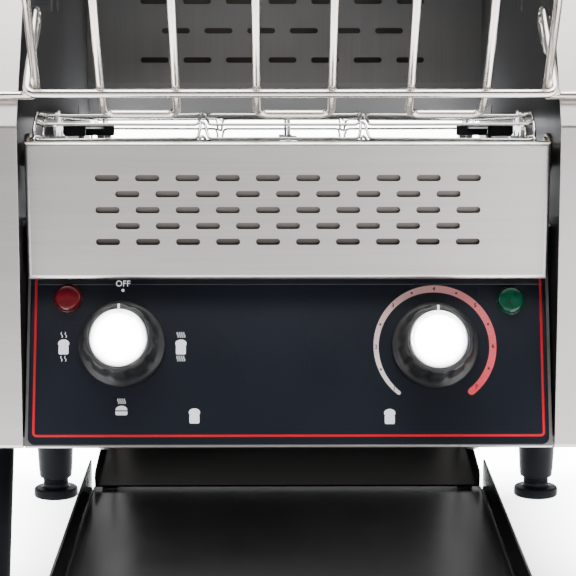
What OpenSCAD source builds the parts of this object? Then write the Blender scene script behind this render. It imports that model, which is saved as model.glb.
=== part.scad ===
// Conveyor toaster. Two sheet-steel side boxes stand on four legs, with an open
// tunnel between them. A flat-flex wire belt runs through the tunnel between
// upper and lower quartz heaters, bread is fed from the leaning wire rack, and
// toast drops off the rear of the belt onto a curved slide and into the tray.
// X runs across the machine, Y from front to back, Z up. The floor is Z = 0.

/* [Casing] */
// Width of the left side box, which holds the wiring
left_box_w = 52; // [50:1:60]
// Width of the right side box, which holds the gear motor and chain
right_box_w = 66; // [66:1:76]
// Height of the casing's top above the floor
top_z = 385; // [383:1:390]
// Radius of the screw heads on the casing
screw_head_r = 3.6; // [3:0.1:4]

/* [Loading rack] */
// Diameter of the rack's wire
rack_wire_d = 4; // [3.6:0.1:4.2]
// Length of the rack's uprights, from the lower bar to the top bar
rack_len = 124; // [90:1:126]

/* [Belt] */
// Diameter of the belt's wire
belt_wire_d = 1.5; // [1.2:0.1:1.6]
// Diameter of the two belt shafts
shaft_d = 10; // [9:0.5:10]
// Thickness of the belt sprockets
sprocket_t = 1.4; // [1:0.1:2]

/* [Heaters] */
// Outer diameter of the quartz tubes
tube_d = 10; // [8:0.5:10]

/* [Controls] */
// Diameter of the knobs' round skirts
knob_d = 41; // [38:1:42]
// Diameter of the knobs' spun caps
cap_d = 27; // [24:0.5:28]
// Height of a knob above the panel
knob_h = 23; // [21:0.5:26]
// Number of finger flutes round a knob
flutes = 10; // [8:1:12]
// Diameter of the pilot lamps' lenses
lamp_d = 12.5; // [11:0.5:14]

/* [Cover slots] */
// Length of one slot in the front cover
slot_l = 11.4; // [9:0.2:13]
// Height of one slot in the front cover
slot_h = 3; // [2:0.2:4]

/* [Tray] */
// Inner width of the toast tray
tray_w = 205; // [204:0.5:206]
// Height of the tray's side walls
tray_wall = 16.5; // [12:0.5:17]

/* [Legs] */
// Diameter of the round foot under each leg
foot_d = 27.7; // [24:0.1:30]
// Diameter of the screw-out stem of each foot
stem_d = 16; // [14:0.5:16]

/* [Hidden] */
$fn = 48;

// the drawing frame's X = 0 is the middle of the tunnel, Y = 0 the boxes' front
origin = [-7, -122.25, 0];
tun = 125;                 // half the tunnel's clear width
xl = -tun - left_box_w;    // outer face, left
xr = tun + right_box_w;    // outer face, right
t = 1;                     // sheet thickness
zb = 102;                  // casing's bottom
zbend = 253;               // where the boxes' fronts start to slope back
yb = 340;                  // casing's back
slope = 28.88;             // lean of the upper front from the vertical
yt = (top_z - zbend) * tan(slope);

// belt path: front centre, fall to the rear, wrap radius, pitch
fa = [38, 238.6];
fall = 3.4;
br = 18;
pitch = PI * 2 * br / 12;
run = 26 * pitch;
bt = [cos(fall), -sin(fall)];
bn = [sin(fall), cos(fall)];
ra = fa + run * bt;
rods = 64;
belt_x0 = -121;
belt_x1 = 117;
function along(s) =
  s < PI * br ? fa + br * (bn * cos(s / br * 180 / PI) - bt * sin(s / br * 180 / PI)) :
  s < PI * br + run ? fa - br * bn + bt * (s - PI * br) :
  s < 2 * PI * br + run ?
    ra + br * (bt * sin((s - PI * br - run) / br * 180 / PI)
             - bn * cos((s - PI * br - run) / br * 180 / PI)) :
    ra + br * bn - bt * (s - 2 * PI * br - run);
function belt_mid(y) = fa[1] - (y - fa[0]) * tan(fall);

// chain drive: 16 teeth on the belt shaft, 8 on the motor, pitch 6.35
chain_p = 6.35;
cr1 = chain_p / (2 * sin(180 / 16));
cr2 = chain_p / (2 * sin(180 / 8));
ma = [215, 160];
cd = norm(ra - ma);
cu = (ra - ma) / cd;
cn = [-cu[1], cu[0]];
cth = atan2(cu[1], cu[0]);
calpha = asin((cr1 - cr2) / cd);
clen = cd * cos(calpha);

// heaters
up_y = [145, 172, 231, 258];
up_z = 325;
lo_y = [80, 127, 174, 221];

// control panel plane
pan = 18;
sel = [-79.1, 47.4];
spd = [69.3, 46.6];
lampl = [-105, 69.5];
lampr = [105.7, 68.2];

// toast slide: straight part, then an arc that climbs to the rear
sl0 = [99, 58.2];
sla = 9;
sl1 = [200, sl0[1] + (200 - sl0[0]) * tan(sla)];
slr = 160;
slc = [sl1[0] - slr * sin(sla), sl1[1] + slr * cos(sla)];
slw = 101.4;
function slide_pt(d, a) = [slc[0] + (slr - d) * sin(a), slc[1] - (slr - d) * cos(a)];
sl_steps = 18;
sl_end = 80;
function slide_line(d) = concat(
  [[sl0[0] - d * sin(sla), sl0[1] + d * cos(sla)]],
  [for (i = [0 : sl_steps]) slide_pt(d, sla + (sl_end - sla) * i / sl_steps)]);
function rev(v) = [for (i = [len(v) - 1 : -1 : 0]) v[i]];
stud_yz = [slide_pt(4.7, 50), slide_pt(4.7, 72), [215, 119]];

// tray frame
ty = 97;
tz = 57;
tlean = 2.35;
tray_front = -197;
tongue = 93;

// loading rack
rw = rack_wire_d / 2;
rz = 268.4;
rlean = 53.8;
rx = [-86.6, -52.1, -15, 19.8, 56, 90.8];
rox = [-115.9, 118.3];     // outer uprights
rlx = [-121, 122.3];       // lower ends of the legs
rhx = [-120.4, 121.8];     // hooks
rb = [2.2, 270.8];
rt = [rb[0] - rack_len * cos(rlean), rb[1] + rack_len * sin(rlean)];
hook = [43, 301.5];
hdir = 42.34;
hr = 4.5;

leg_xy = [[-148, 30], [160.6, 30], [-146.5, 304], [160.6, 304]];

module place() translate(origin) children();
// a YZ outline drawn out along X
module yz(x, w) translate([x, 0, 0]) rotate([90, 0, 90]) linear_extrude(w) children();
// a round bar along X
module barx(x0, x1, p, r) translate([x0, p[0], p[1]]) rotate([0, 90, 0]) cylinder(r = r, h = x1 - x0);
// the boxes' side outline, set in by d
function prof(d) = [[d, zb + d], [d, zbend - d * tan(slope / 2)],
  [yt + d * tan(45 - slope / 2), top_z - d], [yb - d, top_z - d], [yb - d, zb + d]];
module panel_frame() translate([0, 0.7, 104]) rotate([-pan, 0, 0]) children();
// a round bar along the panel's normal, from depth y0 to y1 (positive is inwards)
module normal_bar(p, y0, y1, r, fn = 48)
  translate([p[0], y0, p[1]]) rotate([-90, 0, 0]) cylinder(r = r, h = y1 - y0, $fn = fn);
module cover_frame() translate([0, 15, 181.5]) rotate([2.6, 0, 0]) children();
module tray_frame() translate([0, ty, tz]) rotate([tlean, 0, 0]) children();
// a straight wire between two points, run on by o at both ends so that bends close
module rod(a, b, r, o = 0) {
  v = b - a;
  l = norm(v);
  translate(a) rotate([0, acos(v[2] / l), atan2(v[1], v[0])])
    translate([0, 0, -o]) cylinder(r = r, h = l + 2 * o, $fn = 12);
}
module wire(p, r) for (i = [0 : len(p) - 2]) rod(p[i], p[i + 1], r, 0.5);
// an oblong hole's outline
module oblong(l, h) {
  square([l - h, h], center = true);
  for (s = [-1, 1]) translate([s * (l - h) / 2, 0]) circle(d = h, $fn = 24);
}

// ---------------------------------------------------------------- casing
screw_side = [[26, 128], [314, 128], [314, 350], [110, 350]];
screw_back_z = [128, 350];

module vent_cuts(x) for (j = [0 : 7]) translate([x, 120 + j * 20, 150])
  rotate([0, 90, 0]) linear_extrude(6) rotate(0) oblong(44, 5);

module box_shell(x0, w, side) {
  difference() {
    yz(x0, w) polygon(prof(0));
    yz(side < 0 ? x0 + t : x0 - 1, w) polygon(prof(t));
    // vents, side screws and back screws
    vent_cuts(side < 0 ? x0 - 3 : x0 + w - 3);
    for (p = screw_side) barx(side < 0 ? x0 - 2 : x0 + w - 4, side < 0 ? x0 + 4 : x0 + w + 2, p, 1.6);
    for (z = screw_back_z) translate([x0 + w / 2, yb - 3, z]) rotate([-90, 0, 0]) cylinder(r = 1.6, h = 6);
    for (p = leg_xy) translate([p[0], p[1], zb - 2]) cylinder(r = 4.2, h = 6);
    if (side < 0) translate([-150, yb - 3, 160]) rotate([-90, 0, 0]) cylinder(r = 8.1, h = 6);
  }
}
module left_side_cover() color([0.80, 0.79, 0.78]) place() box_shell(xl, left_box_w, -1);
module right_side_cover() color([0.80, 0.79, 0.78]) place() box_shell(tun, right_box_w, 1);

module wall_cuts(x) {
  for (p = [fa, ra]) barx(x - 2, x + 3, p, 7.55);
  for (y = up_y) barx(x - 2, x + 3, [y, up_z], 7.1);
  for (y = lo_y) barx(x - 2, x + 3, [y, belt_mid(y) - 2], 7.1);
  // adjusting slots below the two front heaters
  for (i = [0, 1]) yz(x - 2, 5) translate([up_y[i] - 3, 306]) square([6, 16]);
  // keyhole for the rear shaft's guard
  yz(x - 2, 5) translate([272, 245]) square([4, 5]);
  barx(x - 2, x + 3, [274, 246], 2.6);
  for (p = stud_yz) barx(x - 2, x + 3, p, 2.1);
  barx(x - 2, x + 3, hook, 2.05);
}
module left_inner_wall() color([0.62, 0.63, 0.66]) place()
  difference() { yz(-tun - t, t) polygon(prof(t)); wall_cuts(-tun - t); }
module right_inner_wall() color([0.62, 0.63, 0.66]) place()
  difference() { yz(tun, t) polygon(prof(t)); wall_cuts(tun); }

module top_cover() color([0.80, 0.79, 0.78]) place() {
  xi = tun - 0.6;
  lip_z = 333;
  lip_y = (lip_z - zbend) * tan(slope);
  difference() {
    union() {
      yz(-xi, 2 * xi) polygon([[yt, top_z], [lip_y, lip_z], [lip_y + 9, lip_z], [lip_y + 9, lip_z + t],
        [lip_y + t * 1.7, lip_z + t], [yt + t * tan(45 - slope / 2), top_z - t], [yb - t, top_z - t],
        [yb - t, top_z - 14], [yb, top_z - 14], [yb, top_z]]);
      for (s = [-1, 1]) yz(s < 0 ? -xi : xi - t, t)
        intersection() { polygon(prof(0.5)); translate([0, top_z - 16]) square([yb, 20]); }
    }
    for (i = [0 : 4], j = [0 : 5]) translate([-90 + i * 45, 110 + j * 36, top_z - 4])
      linear_extrude(8) oblong(30, 4);
    for (s = [-1, 1]) translate([s * 90, yb - 3, top_z - 8]) rotate([-90, 0, 0]) cylinder(r = 1.6, h = 6);
  }
}

module rear_panel() color([0.55, 0.55, 0.56]) place() {
  xi = tun - 0.5;
  difference() {
    yz(-xi, 2 * xi) polygon([[332, top_z - 16], [332, 258.5], [338.5, 238.2], [339.5, 238.2],
      [333, 258.7], [333, top_z - 17], [339, top_z - 17], [339, top_z - 16]]);
    for (j = [0 : 4]) {
      n = j % 2 == 0 ? 7 : 6;
      for (i = [0 : n - 1]) translate([(i - (n - 1) / 2) * 27 - 1.4, 336, 276.1 + j * 18.4])
        rotate([90, 0, 0]) linear_extrude(8) oblong(17.7, 3.4);
    }
    back_holes();
  }
}
module back_holes() for (s = [-1, 1]) translate([s * 90, 328, 268]) rotate([-90, 0, 0]) cylinder(r = 1.6, h = 16);
// outer back sheet, its slots stand between the rows of the wall in front of it
module rear_cover() color([0.78, 0.77, 0.76]) place() difference() {
  yz(-tun + 1.8, 2 * tun - 3.6) polygon([[333, 262], [yb, 262], [yb, top_z - 14.2], [yb - t, top_z - 14.2],
    [yb - t, 262 + t], [333 + t, 262 + t], [333 + t, 272], [333, 272]]);
  for (i = [0 : 4], j = [0 : 3]) translate([(i - 2) * 45, yb + 2, 285.3 + j * 18.4])
    rotate([90, 0, 0]) linear_extrude(5) oblong(30, 4);
  back_holes();
}

module rear_crossbar() color([0.75, 0.75, 0.76]) place()
  yz(-tun + 0.2, 2 * tun - 0.4) polygon([[330, 105], [339, 105], [339, 126], [330, 126],
    [330, 125], [338, 125], [338, 106], [330, 106]]);

// slot rows alternate between ten and nine
module cover_slots() for (j = [0 : 4]) {
  n = j % 2 == 0 ? 10 : 9;
  for (i = [0 : n - 1]) translate([(i - (n - 1) / 2) * 18.8 - 0.4, 4, 16.7 + j * 7.55])
    rotate([90, 0, 0]) linear_extrude(8) oblong(slot_l, slot_h);
}
module front_cover() color([0.78, 0.76, 0.75]) place() cover_frame() {
  union() {
    difference() {
      translate([-123.4, 0, -1.4]) cube([245.8, t, 65.1]);
      cover_slots();
    }
    translate([-123.4, 0, 62.7]) cube([245.8, 5, t]);
    translate([-123.4, 0, -1.4]) cube([245.8, 9, t]);
    for (x = [-123.4, 121.4]) translate([x, 0, -1.4]) cube([t, 9, 65.1]);
    // baffle behind the slots
    translate([-122.9, 3, 11]) cube([244.8, 0.8, 41.5]);
  }
}

module panel_holes(y0, y1) {
  for (p = [sel, spd]) normal_bar(p, y0, y1, 5);
  for (p = [lampl, lampr]) normal_bar(p, y0, y1, 5.3);
}
module control_panel() color([0.82, 0.82, 0.83]) place() difference() {
  union() {
    panel_frame() translate([-124.3, 0, -1.05]) cube([248.4, t, 90.05]);
    yz(-124.3, 248.4) polygon([[0.4, 103], [0.7, 102.1], [14, 102.1], [14, 103]]);
  }
  panel_frame() panel_holes(-3, 4);
  for (x = [-86.9, 86.8]) translate([x, 6, 100]) cylinder(r = 1.6, h = 8);
}
module panel_overlay() color([0.10, 0.12, 0.16]) place() panel_frame() difference() {
  union() {
    translate([-122.9, -0.4, 3.2]) cube([245.5, 0.4, 84.9]);
    translate([-119.4, -0.4, -0.3]) cube([238.5, 0.4, 3.5]);
    for (x = [-119.4, 119.1]) translate([x, -0.4, 3.2]) rotate([-90, 0, 0]) cylinder(r = 3.5, h = 0.4);
  }
  panel_holes(-3, 4);
}
module control_box() color([0.70, 0.70, 0.71]) place()
  yz(-tun + 0.2, 2 * tun - 0.4) polygon([[14.5, 104.2], [62, 104.2], [62, 205], [26, 205],
    [26, 204], [61, 204], [61, 105.2], [14.5, 105.2]]);

// ---------------------------------------------------------------- toast path
module toast_slide() color([0.45, 0.45, 0.46]) place() {
  yz(-slw, 2 * slw) polygon(concat(slide_line(0), rev(slide_line(t))));
  for (s = [-1, 1]) difference() {
    yz(s < 0 ? -slw : slw - t, t) polygon(concat(slide_line(0), rev(slide_line(8))));
    for (i = [0, 1]) barx(-slw - 2, slw + 2, stud_yz[i], 2.1);
    barx(-slw - 2, slw + 2, [215, 82.5], 2.1);
  }
}
module slide_hangers() color([0.70, 0.70, 0.71]) place() for (s = [-1, 1]) difference() {
  yz(s < 0 ? -slw - 1.5 : slw, 1.5) translate([209, 78.6]) square([12, 48]);
  barx(s * (slw + 3) - 4, s * (slw + 3) + 4, [215, 119], 2.1);
  barx(s * (slw + 3) - 4, s * (slw + 3) + 4, [215, 82.5], 2.1);
}
module slide_studs() color([0.75, 0.73, 0.66]) place() for (s = [-1, 1]) {
  for (i = [0 : 2]) {
    p = stud_yz[i];
    a = i < 2 ? slw : slw + 1.5;
    h0 = i < 2 ? slw - t : slw;
    // spacer tube
    barx(s < 0 ? -tun : a, s < 0 ? -a : tun, p, 4);
    // screw with a head at the slide and a nut in the side box
    barx(s < 0 ? -tun - 5 : h0 - 2, s < 0 ? -h0 + 2 : tun + 5, p, 2);
    barx(s < 0 ? -h0 : h0 - 2.2, s < 0 ? -h0 + 2.2 : h0, p, 3.5);
    translate([s < 0 ? -tun - t - 3.2 : tun + t, p[0], p[1]]) rotate([0, 90, 0]) cylinder(r = 4, h = 3.2, $fn = 6);
  }
  // screw that joins the hanger to the slide's flange
  barx(s < 0 ? -slw - 3 : slw - t - 2, s < 0 ? -slw + t + 2 : slw + 3, [215, 82.5], 2);
  barx(s < 0 ? -slw - 3.7 : slw + 1.5, s < 0 ? -slw - 1.5 : slw + 3.7, [215, 82.5], 3.6);
}
module toast_tray() color([0.30, 0.30, 0.30]) place() tray_frame() {
  wi = tray_w / 2;
  translate([-wi - t, tray_front, -t]) cube([tray_w + 2 * t, -tray_front, t]);
  translate([-96.4, -0.01, -t]) cube([192.8, tongue, t]);
  for (s = [-1, 1]) translate([s < 0 ? -wi - t : wi, tray_front, -t]) cube([t, -tray_front, tray_wall + t]);
  translate([-wi - t, tray_front, -t]) cube([tray_w + 2 * t, t, tray_wall + t]);
  // out-turned grip lip at the front
  translate([-wi - t, tray_front - 5, tray_wall - t]) cube([tray_w + 2 * t, 6, t]);
}
// a channel under the slide that the tray's tongue runs in
function slide_under(y) = sl0[1] + (y - sl0[0]) * tan(sla);
module tray_guide(s) {
  tray_frame() {
    translate([s < 0 ? -98 : 90, 8, -2.4]) cube([8, 84, 1]);
    translate([s < 0 ? -98 : 90, 8, 0.4]) cube([8, 84, 1]);
  }
  yz(s < 0 ? -98 : 97, 1) polygon([[ty + 8.1, tz + 8 * tan(tlean) - 2.4], [ty + 92, tz + 92 * tan(tlean) - 2.4],
    [ty + 92, slide_under(ty + 92)], [ty + 8.1, slide_under(ty + 8.1)]]);
}
module left_tray_guide() color([0.70, 0.70, 0.71]) place() tray_guide(-1);
module right_tray_guide() color([0.70, 0.70, 0.71]) place() tray_guide(1);

// ---------------------------------------------------------------- loading rack
module loading_rack() color([0.86, 0.85, 0.82]) place() {
  e = [cos(hdir), sin(hdir)];
  n = [-sin(hdir), cos(hdir)];
  top = hook + hr * n;
  // lower bar, end bends, legs and hairpin hooks
  wire([[rhx[0], top[0], top[1]], [rlx[0], 3 * e[0], rz + 3 * e[1]], [rlx[0] + 3.2, 0, rz],
    [rlx[1] - 3.2, 0, rz], [rlx[1], 3 * e[0], rz + 3 * e[1]], [rhx[1], top[0], top[1]]], rw);
  for (i = [0, 1]) {
    translate([rhx[i], hook[0], hook[1]]) rotate([90, 0, 90]) rotate(hdir - 90)
      rotate_extrude(angle = 180, $fn = 40) translate([hr, 0]) circle(r = rw, $fn = 12);
    bar_yz(rhx[i], hook - hr * n, hook - hr * n - 16 * e, rw);
    // side bar that rests on the box's sloped front, and the weld that holds it
    rod([i < 1 ? xl + 9 : 118.5, 5.05, 267.2], [i < 1 ? -117.5 : xr - 9, 5.05, 267.2], rw);
    rod([i < 1 ? -119.5 : 120.5, 5.05, 267.2], [i < 1 ? -119.5 : 120.5, 2.6, 270.4], 1.5, 0);
  }
  // outer uprights and top bar
  wire([[rox[0], rb[0] + 0.9, rb[1] - 1.2], [rox[0], rt[0], rt[1]], [rox[1], rt[0], rt[1]], [rox[1], rb[0] + 0.9, rb[1] - 1.2]], rw);
  // inner uprights, joined in pairs by a loop behind the lower bar
  for (i = [0 : 2 : 4]) {
    a = rx[i];
    b = rx[i + 1];
    wire([[a, rt[0], rt[1]], [a, rb[0], rb[1]], [a, 20, 257.8],
      [b, 20, 257.8], [b, rb[0], rb[1]], [b, rt[0], rt[1]]], rw);
  }
}
module bar_yz(x, p, q, r) rod([x, p[0], p[1]], [x, q[0], q[1]], r, 0);
module rack_pins() color([0.75, 0.73, 0.66]) place() for (s = [-1, 1]) {
  barx(s < 0 ? -tun - 4 : 118, s < 0 ? -117.4 : tun + 4, hook, 2);
  // head inside the side box
  barx(s < 0 ? -tun - 3.4 : tun + t, s < 0 ? -tun - t : tun + 3.4, hook, 3.6);
}

// ---------------------------------------------------------------- conveyor
function loop_pts(r) = concat(
  [for (i = [0 : 16]) fa + r * (bn * cos(i * 11.25) - bt * sin(i * 11.25))],
  [for (i = [0 : 16]) ra + r * (bt * sin(i * 11.25) - bn * cos(i * 11.25))]);
module conveyor_belt() color([0.80, 0.79, 0.76]) place() {
  for (k = [0 : rods - 1])
    barx_fine(belt_x0 + 0.5, belt_x1 - 0.5, along(2 + pitch * k), belt_wire_d / 2);
  for (x = [belt_x0, -40.75, 35, belt_x1 - 1.5]) yz(x, 1.5)
    difference() { polygon(loop_pts(br + 1)); polygon(loop_pts(br - 1)); }
}
module barx_fine(x0, x1, p, r) translate([x0, p[0], p[1]]) rotate([0, 90, 0]) cylinder(r = r, h = x1 - x0, $fn = 16);

// toothed disc: low teeth, midway between the belt's wires and just inside them
module belt_sprocket(p, x) yz(x - sprocket_t / 2, sprocket_t) translate(p) difference() {
  union() {
    circle(r = 14.6);
    for (k = [0 : 11]) rotate(90 - fall + 21.366 + 30 * k)
      polygon([[13, -2.8], [15.4, -2.4], [16.8, -1.4], [16.8, 1.4], [15.4, 2.4], [13, 2.8]]);
  }
  circle(d = shaft_d + 0.02);
  for (k = [0 : 3]) rotate(45 + 90 * k) translate([10.6, 0]) circle(r = 2.6);
}
module sprocket_set(p, xs) for (x = xs) {
  belt_sprocket(p, x);
  for (s = [-1, 1]) difference() {
    barx(s < 0 ? x - 4 : x + sprocket_t / 2, s < 0 ? x - sprocket_t / 2 : x + 4, p, 8);
    barx(x - 5, x + 5, p, shaft_d / 2 + 0.01);
  }
}
module drive_shaft() color([0.70, 0.70, 0.72]) place() barx(-133, 141, ra, shaft_d / 2);
module idler_shaft() color([0.70, 0.70, 0.72]) place() barx(-133, 133, fa, shaft_d / 2);
module drive_belt_sprockets() color([0.78, 0.78, 0.78]) place() sprocket_set(ra, [-110.1, 0, 110.1]);
module idler_belt_sprockets() color([0.78, 0.78, 0.78]) place() sprocket_set(fa, [-110.1, 0, 110.1]);
module shaft_bushes() color([0.72, 0.55, 0.28]) place() for (p = [fa, ra], s = [-1, 1]) difference() {
  union() {
    barx(s < 0 ? -130.5 : 122.5, s < 0 ? -122.5 : 130.5, p, 7.5);
    barx(s < 0 ? -tun : 123.4, s < 0 ? -123.4 : tun, p, 11);
  }
  barx(-140, 140, p, shaft_d / 2 + 0.05);
}
// angle strips on the inner walls under the belt's upper run
module belt_rail(s) translate([0, fa[0], fa[1]]) rotate([-fall, 0, 0])
  translate([s < 0 ? -tun : 108.5, 112, 7.4]) difference() {
    cube([16.5, 112, 5.4]);
    translate([s < 0 ? 1.5 : -1, 1.5, -1]) cube([16, 109, 4.9]);
  }
module left_belt_rail() color([0.16, 0.16, 0.17]) place() belt_rail(-1);
module right_belt_rail() color([0.16, 0.16, 0.17]) place() belt_rail(1);

// chain drive in the right box
module toothed(p, n, pr, turn, x, w, bore) yz(x, w) translate(p) difference() {
  union() {
    circle(r = pr - 3);
    for (k = [0 : n - 1]) rotate(turn + 360 / n * k)
      polygon([[pr - 4, -1.2], [pr - 2.6, -1.1], [pr - 1.85, -0.5], [pr - 1.85, 0.5], [pr - 2.6, 1.1], [pr - 4, 1.2]]);
  }
  circle(r = bore);
}
module chain_wheel() color([0.42, 0.42, 0.43]) place() {
  toothed(ra, 16, cr1, cth + 11.25, 132.6, 2.8, shaft_d / 2 + 0.01);
  difference() {
    barx(135.4, 140, ra, 9);
    barx(135, 141, ra, shaft_d / 2 + 0.01);
  }
}
module motor_shaft() color([0.70, 0.70, 0.72]) place() barx(131.6, 155, ma, 4);
module motor_pinion() color([0.42, 0.42, 0.43]) place() {
  toothed(ma, 8, cr2, cth, 132.6, 2.8, 4.01);
}
module chain2d(o) {
  nt = cn * cos(calpha) - cu * sin(calpha);
  nb = -cn * cos(calpha) - cu * sin(calpha);
  translate(ra) circle(r = cr1 + o);
  translate(ma) circle(r = cr2 + o);
  polygon([ma + (cr2 + o) * nt, ra + (cr1 + o) * nt, ra, ra + (cr1 + o) * nb, ma + (cr2 + o) * nb, ma]);
}
module drive_chain() color([0.30, 0.30, 0.31]) place() {
  for (x = [131.2, 136]) yz(x, 0.9) difference() { chain2d(2.4); chain2d(-2.4); }
  nt = cn * cos(calpha) - cu * sin(calpha);
  nb = -cn * cos(calpha) - cu * sin(calpha);
  for (k = [-4 : 4]) barx_fine(131.6, 136.4, ra + cr1 * [cos(cth + 22.5 * k), sin(cth + 22.5 * k)], 1.5);
  for (k = [-1.5 : 1.5]) barx_fine(131.6, 136.4, ma - cr2 * [cos(cth + 45 * k), sin(cth + 45 * k)], 1.5);
  step = (clen + 3.9) / 15;
  for (j = [1 : 14], q = [nt, nb]) {
    a = ma + cr2 * q;
    b = ra + cr1 * q;
    barx_fine(131.6, 136.4, a + (b - a) * ((j * step - 2.5) / clen), 1.5);
  }
}
module gear_motor() color([0.55, 0.56, 0.57]) place() difference() {
  union() {
    barx(142, 158, ma, 30);
    barx(158, 182, ma, 25);
    translate([160, ma[0] - 9, ma[1] + 20]) cube([16, 18, 10]);
  }
  barx(140, 156, ma, 4.06);
}
module motor_bracket() color([0.72, 0.72, 0.73]) place() {
  difference() {
    yz(140.5, 1.5) translate([ma[0] - 38, ma[1] - 38]) square(76);
    barx(139, 144, ma, 9);
  }
  for (a = [0 : 90 : 270]) barx(tun + t, 140.5, ma + 31 * [cos(a), sin(a)], 4);
}

// ---------------------------------------------------------------- heating
module upper_quartz_tubes() color([0.90, 0.88, 0.84]) place()
  for (y = up_y) barx(-124, 124, [y, up_z], tube_d / 2);
module lower_quartz_tubes() color([0.90, 0.88, 0.84]) place()
  for (y = lo_y) barx(-124, 124, [y, belt_mid(y) - 2], tube_d / 2);
module heater_ends() color([0.93, 0.92, 0.88]) place() {
  for (i = [0 : 7], s = [-1, 1]) {
    p = i < 4 ? [up_y[i], up_z] : [lo_y[i - 4], belt_mid(lo_y[i - 4]) - 2];
    difference() {
      barx(s < 0 ? -137 : 119.5, s < 0 ? -119.5 : 137, p, 7);
      barx(-124.2, 124.2, p, tube_d / 2 + 0.05);
    }
  }
}
module upper_reflector() color([0.75, 0.75, 0.76]) place()
  yz(-tun + 0.2, 2 * tun - 0.4) polygon([[98, 340], [110, 352], [295, 352], [307, 340],
    [308, 340.4], [295.4, 353], [109.6, 353], [97, 340.4]]);
module lower_reflector() color([0.75, 0.75, 0.76]) place()
  translate([-tun + 0.2, fa[0], fa[1]]) rotate([-fall, 0, 0]) translate([0, 26, -12]) cube([2 * tun - 0.4, 190, 0.8]);

// ---------------------------------------------------------------- controls
module knob(p) panel_frame() translate([p[0], 0, p[1]]) rotate([90, 0, 0]) difference() {
  rotate_extrude() polygon([[0, 2.4], [knob_d / 2 - 3, 2.4], [knob_d / 2 - 3, 1.2], [knob_d / 2, 1.2],
    [knob_d / 2, 3.4], [knob_d / 2 - 1, 4.6], [knob_d / 2 - 3.6, 6.4], [17, 9], [16.4, 13],
    [16, knob_h - 1.2], [15.2, knob_h - 0.4], [0, knob_h - 0.4]]);
  for (k = [0 : flutes - 1]) rotate(360 / flutes * (k + 0.5)) translate([20.6, 0, 6.8]) cylinder(r = 5.2, h = knob_h);
  // socket for the spindle and clearance for the fixing nut
  translate([0, 0, 1]) cylinder(r = 3.04, h = 13);
  translate([0, 0, 1]) cylinder(r = 9, h = 3.4);
  // seat of the spun cap
  translate([0, 0, knob_h - 1]) cylinder(r = cap_d / 2 + 0.02, h = 2);
}
module knob_cap(p) panel_frame() translate([p[0], 0, p[1]]) rotate([90, 0, 0])
  rotate_extrude() polygon([[0, knob_h - 1], [cap_d / 2, knob_h - 1], [cap_d / 2, knob_h - 0.3],
    [cap_d / 2 - 0.5, knob_h], [0, knob_h]]);
module spindle(p) panel_frame() normal_bar(p, -14, 20, 3);
// threaded bush through the panel with its hexagon nut
module fixing_bush(p) {
  normal_bar(p, -3.2, 4.2, 4.8);
  translate([p[0], -2.4, p[1]]) rotate([-90, 0, 0]) cylinder(r = 7.6, h = 2, $fn = 6);
}
module selector_knob() color([0.15, 0.15, 0.16]) place() knob(sel);
module selector_knob_cap() color([0.85, 0.85, 0.86]) place() knob_cap(sel);
module selector_spindle() color([0.70, 0.70, 0.72]) place() spindle(sel);
module speed_knob() color([0.15, 0.15, 0.16]) place() knob(spd);
module speed_knob_cap() color([0.85, 0.85, 0.86]) place() knob_cap(spd);
module speed_spindle() color([0.70, 0.70, 0.72]) place() spindle(spd);
module selector_switch() color([0.20, 0.20, 0.22]) place() panel_frame() difference() {
  union() {
    fixing_bush(sel);
    translate([sel[0] - 16, 4, sel[1] - 16]) cube([32, 26, 32]);
    for (i = [-1, 0, 1], s = [-1, 1]) translate([sel[0] + i * 9 - 2.4, 30, sel[1] + s * 10 - 0.5]) cube([4.8, 7, 1]);
  }
  normal_bar(sel, -5, 21, 3.05);
}
module speed_control() color([0.16, 0.30, 0.22]) place() panel_frame() difference() {
  union() {
    fixing_bush(spd);
    normal_bar(spd, 4, 22, 14);
    translate([spd[0] - 32, 22, spd[1] - 22]) cube([64, 1.6, 44]);
    for (s = [-1, 1]) translate([spd[0] + s * 18 - 5, 23.6, spd[1] - 8]) cube([10, 9, 16]);
  }
  normal_bar(spd, -5, 21, 3.05);
}
module lamp(p) panel_frame() {
  normal_bar(p, -1.6, -0.4, lamp_d / 2 + 0.6);
  translate([p[0], -0.4, p[1]]) rotate([90, 0, 0]) rotate_extrude()
    polygon([[0, 1], [lamp_d / 2 - 0.4, 1], [lamp_d / 2 - 0.6, 3], [lamp_d / 2 - 2, 4.6], [0, 5]]);
  normal_bar(p, -0.6, 22, 5.2);
}
module red_lamp() color([0.62, 0.08, 0.10]) place() lamp(lampl);
module green_lamp() color([0.05, 0.42, 0.25]) place() lamp(lampr);

module terminal_block() color([0.90, 0.90, 0.86]) place() difference() {
  translate([-172, 268, 106]) cube([16, 52, 18]);
  for (i = [0 : 3]) translate([-164, 275 + i * 12, 112]) cylinder(r = 3.2, h = 20);
}
module cable_gland() color([0.14, 0.14, 0.15]) place() translate([-150, 0, 160]) rotate([-90, 0, 0]) difference() {
  union() {
    translate([0, 0, yb - 8]) cylinder(r = 8, h = 14);
    translate([0, 0, yb - t - 4]) cylinder(r = 12, h = 4, $fn = 6);
    translate([0, 0, yb]) cylinder(r = 11, h = 4);
    translate([0, 0, yb + 4]) cylinder(r = 9.2, h = 6);
  }
  translate([0, 0, yb - 10]) cylinder(r = 5, h = 11);
  translate([0, 0, yb]) cylinder(r = 4.1, h = 14);
}

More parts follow.
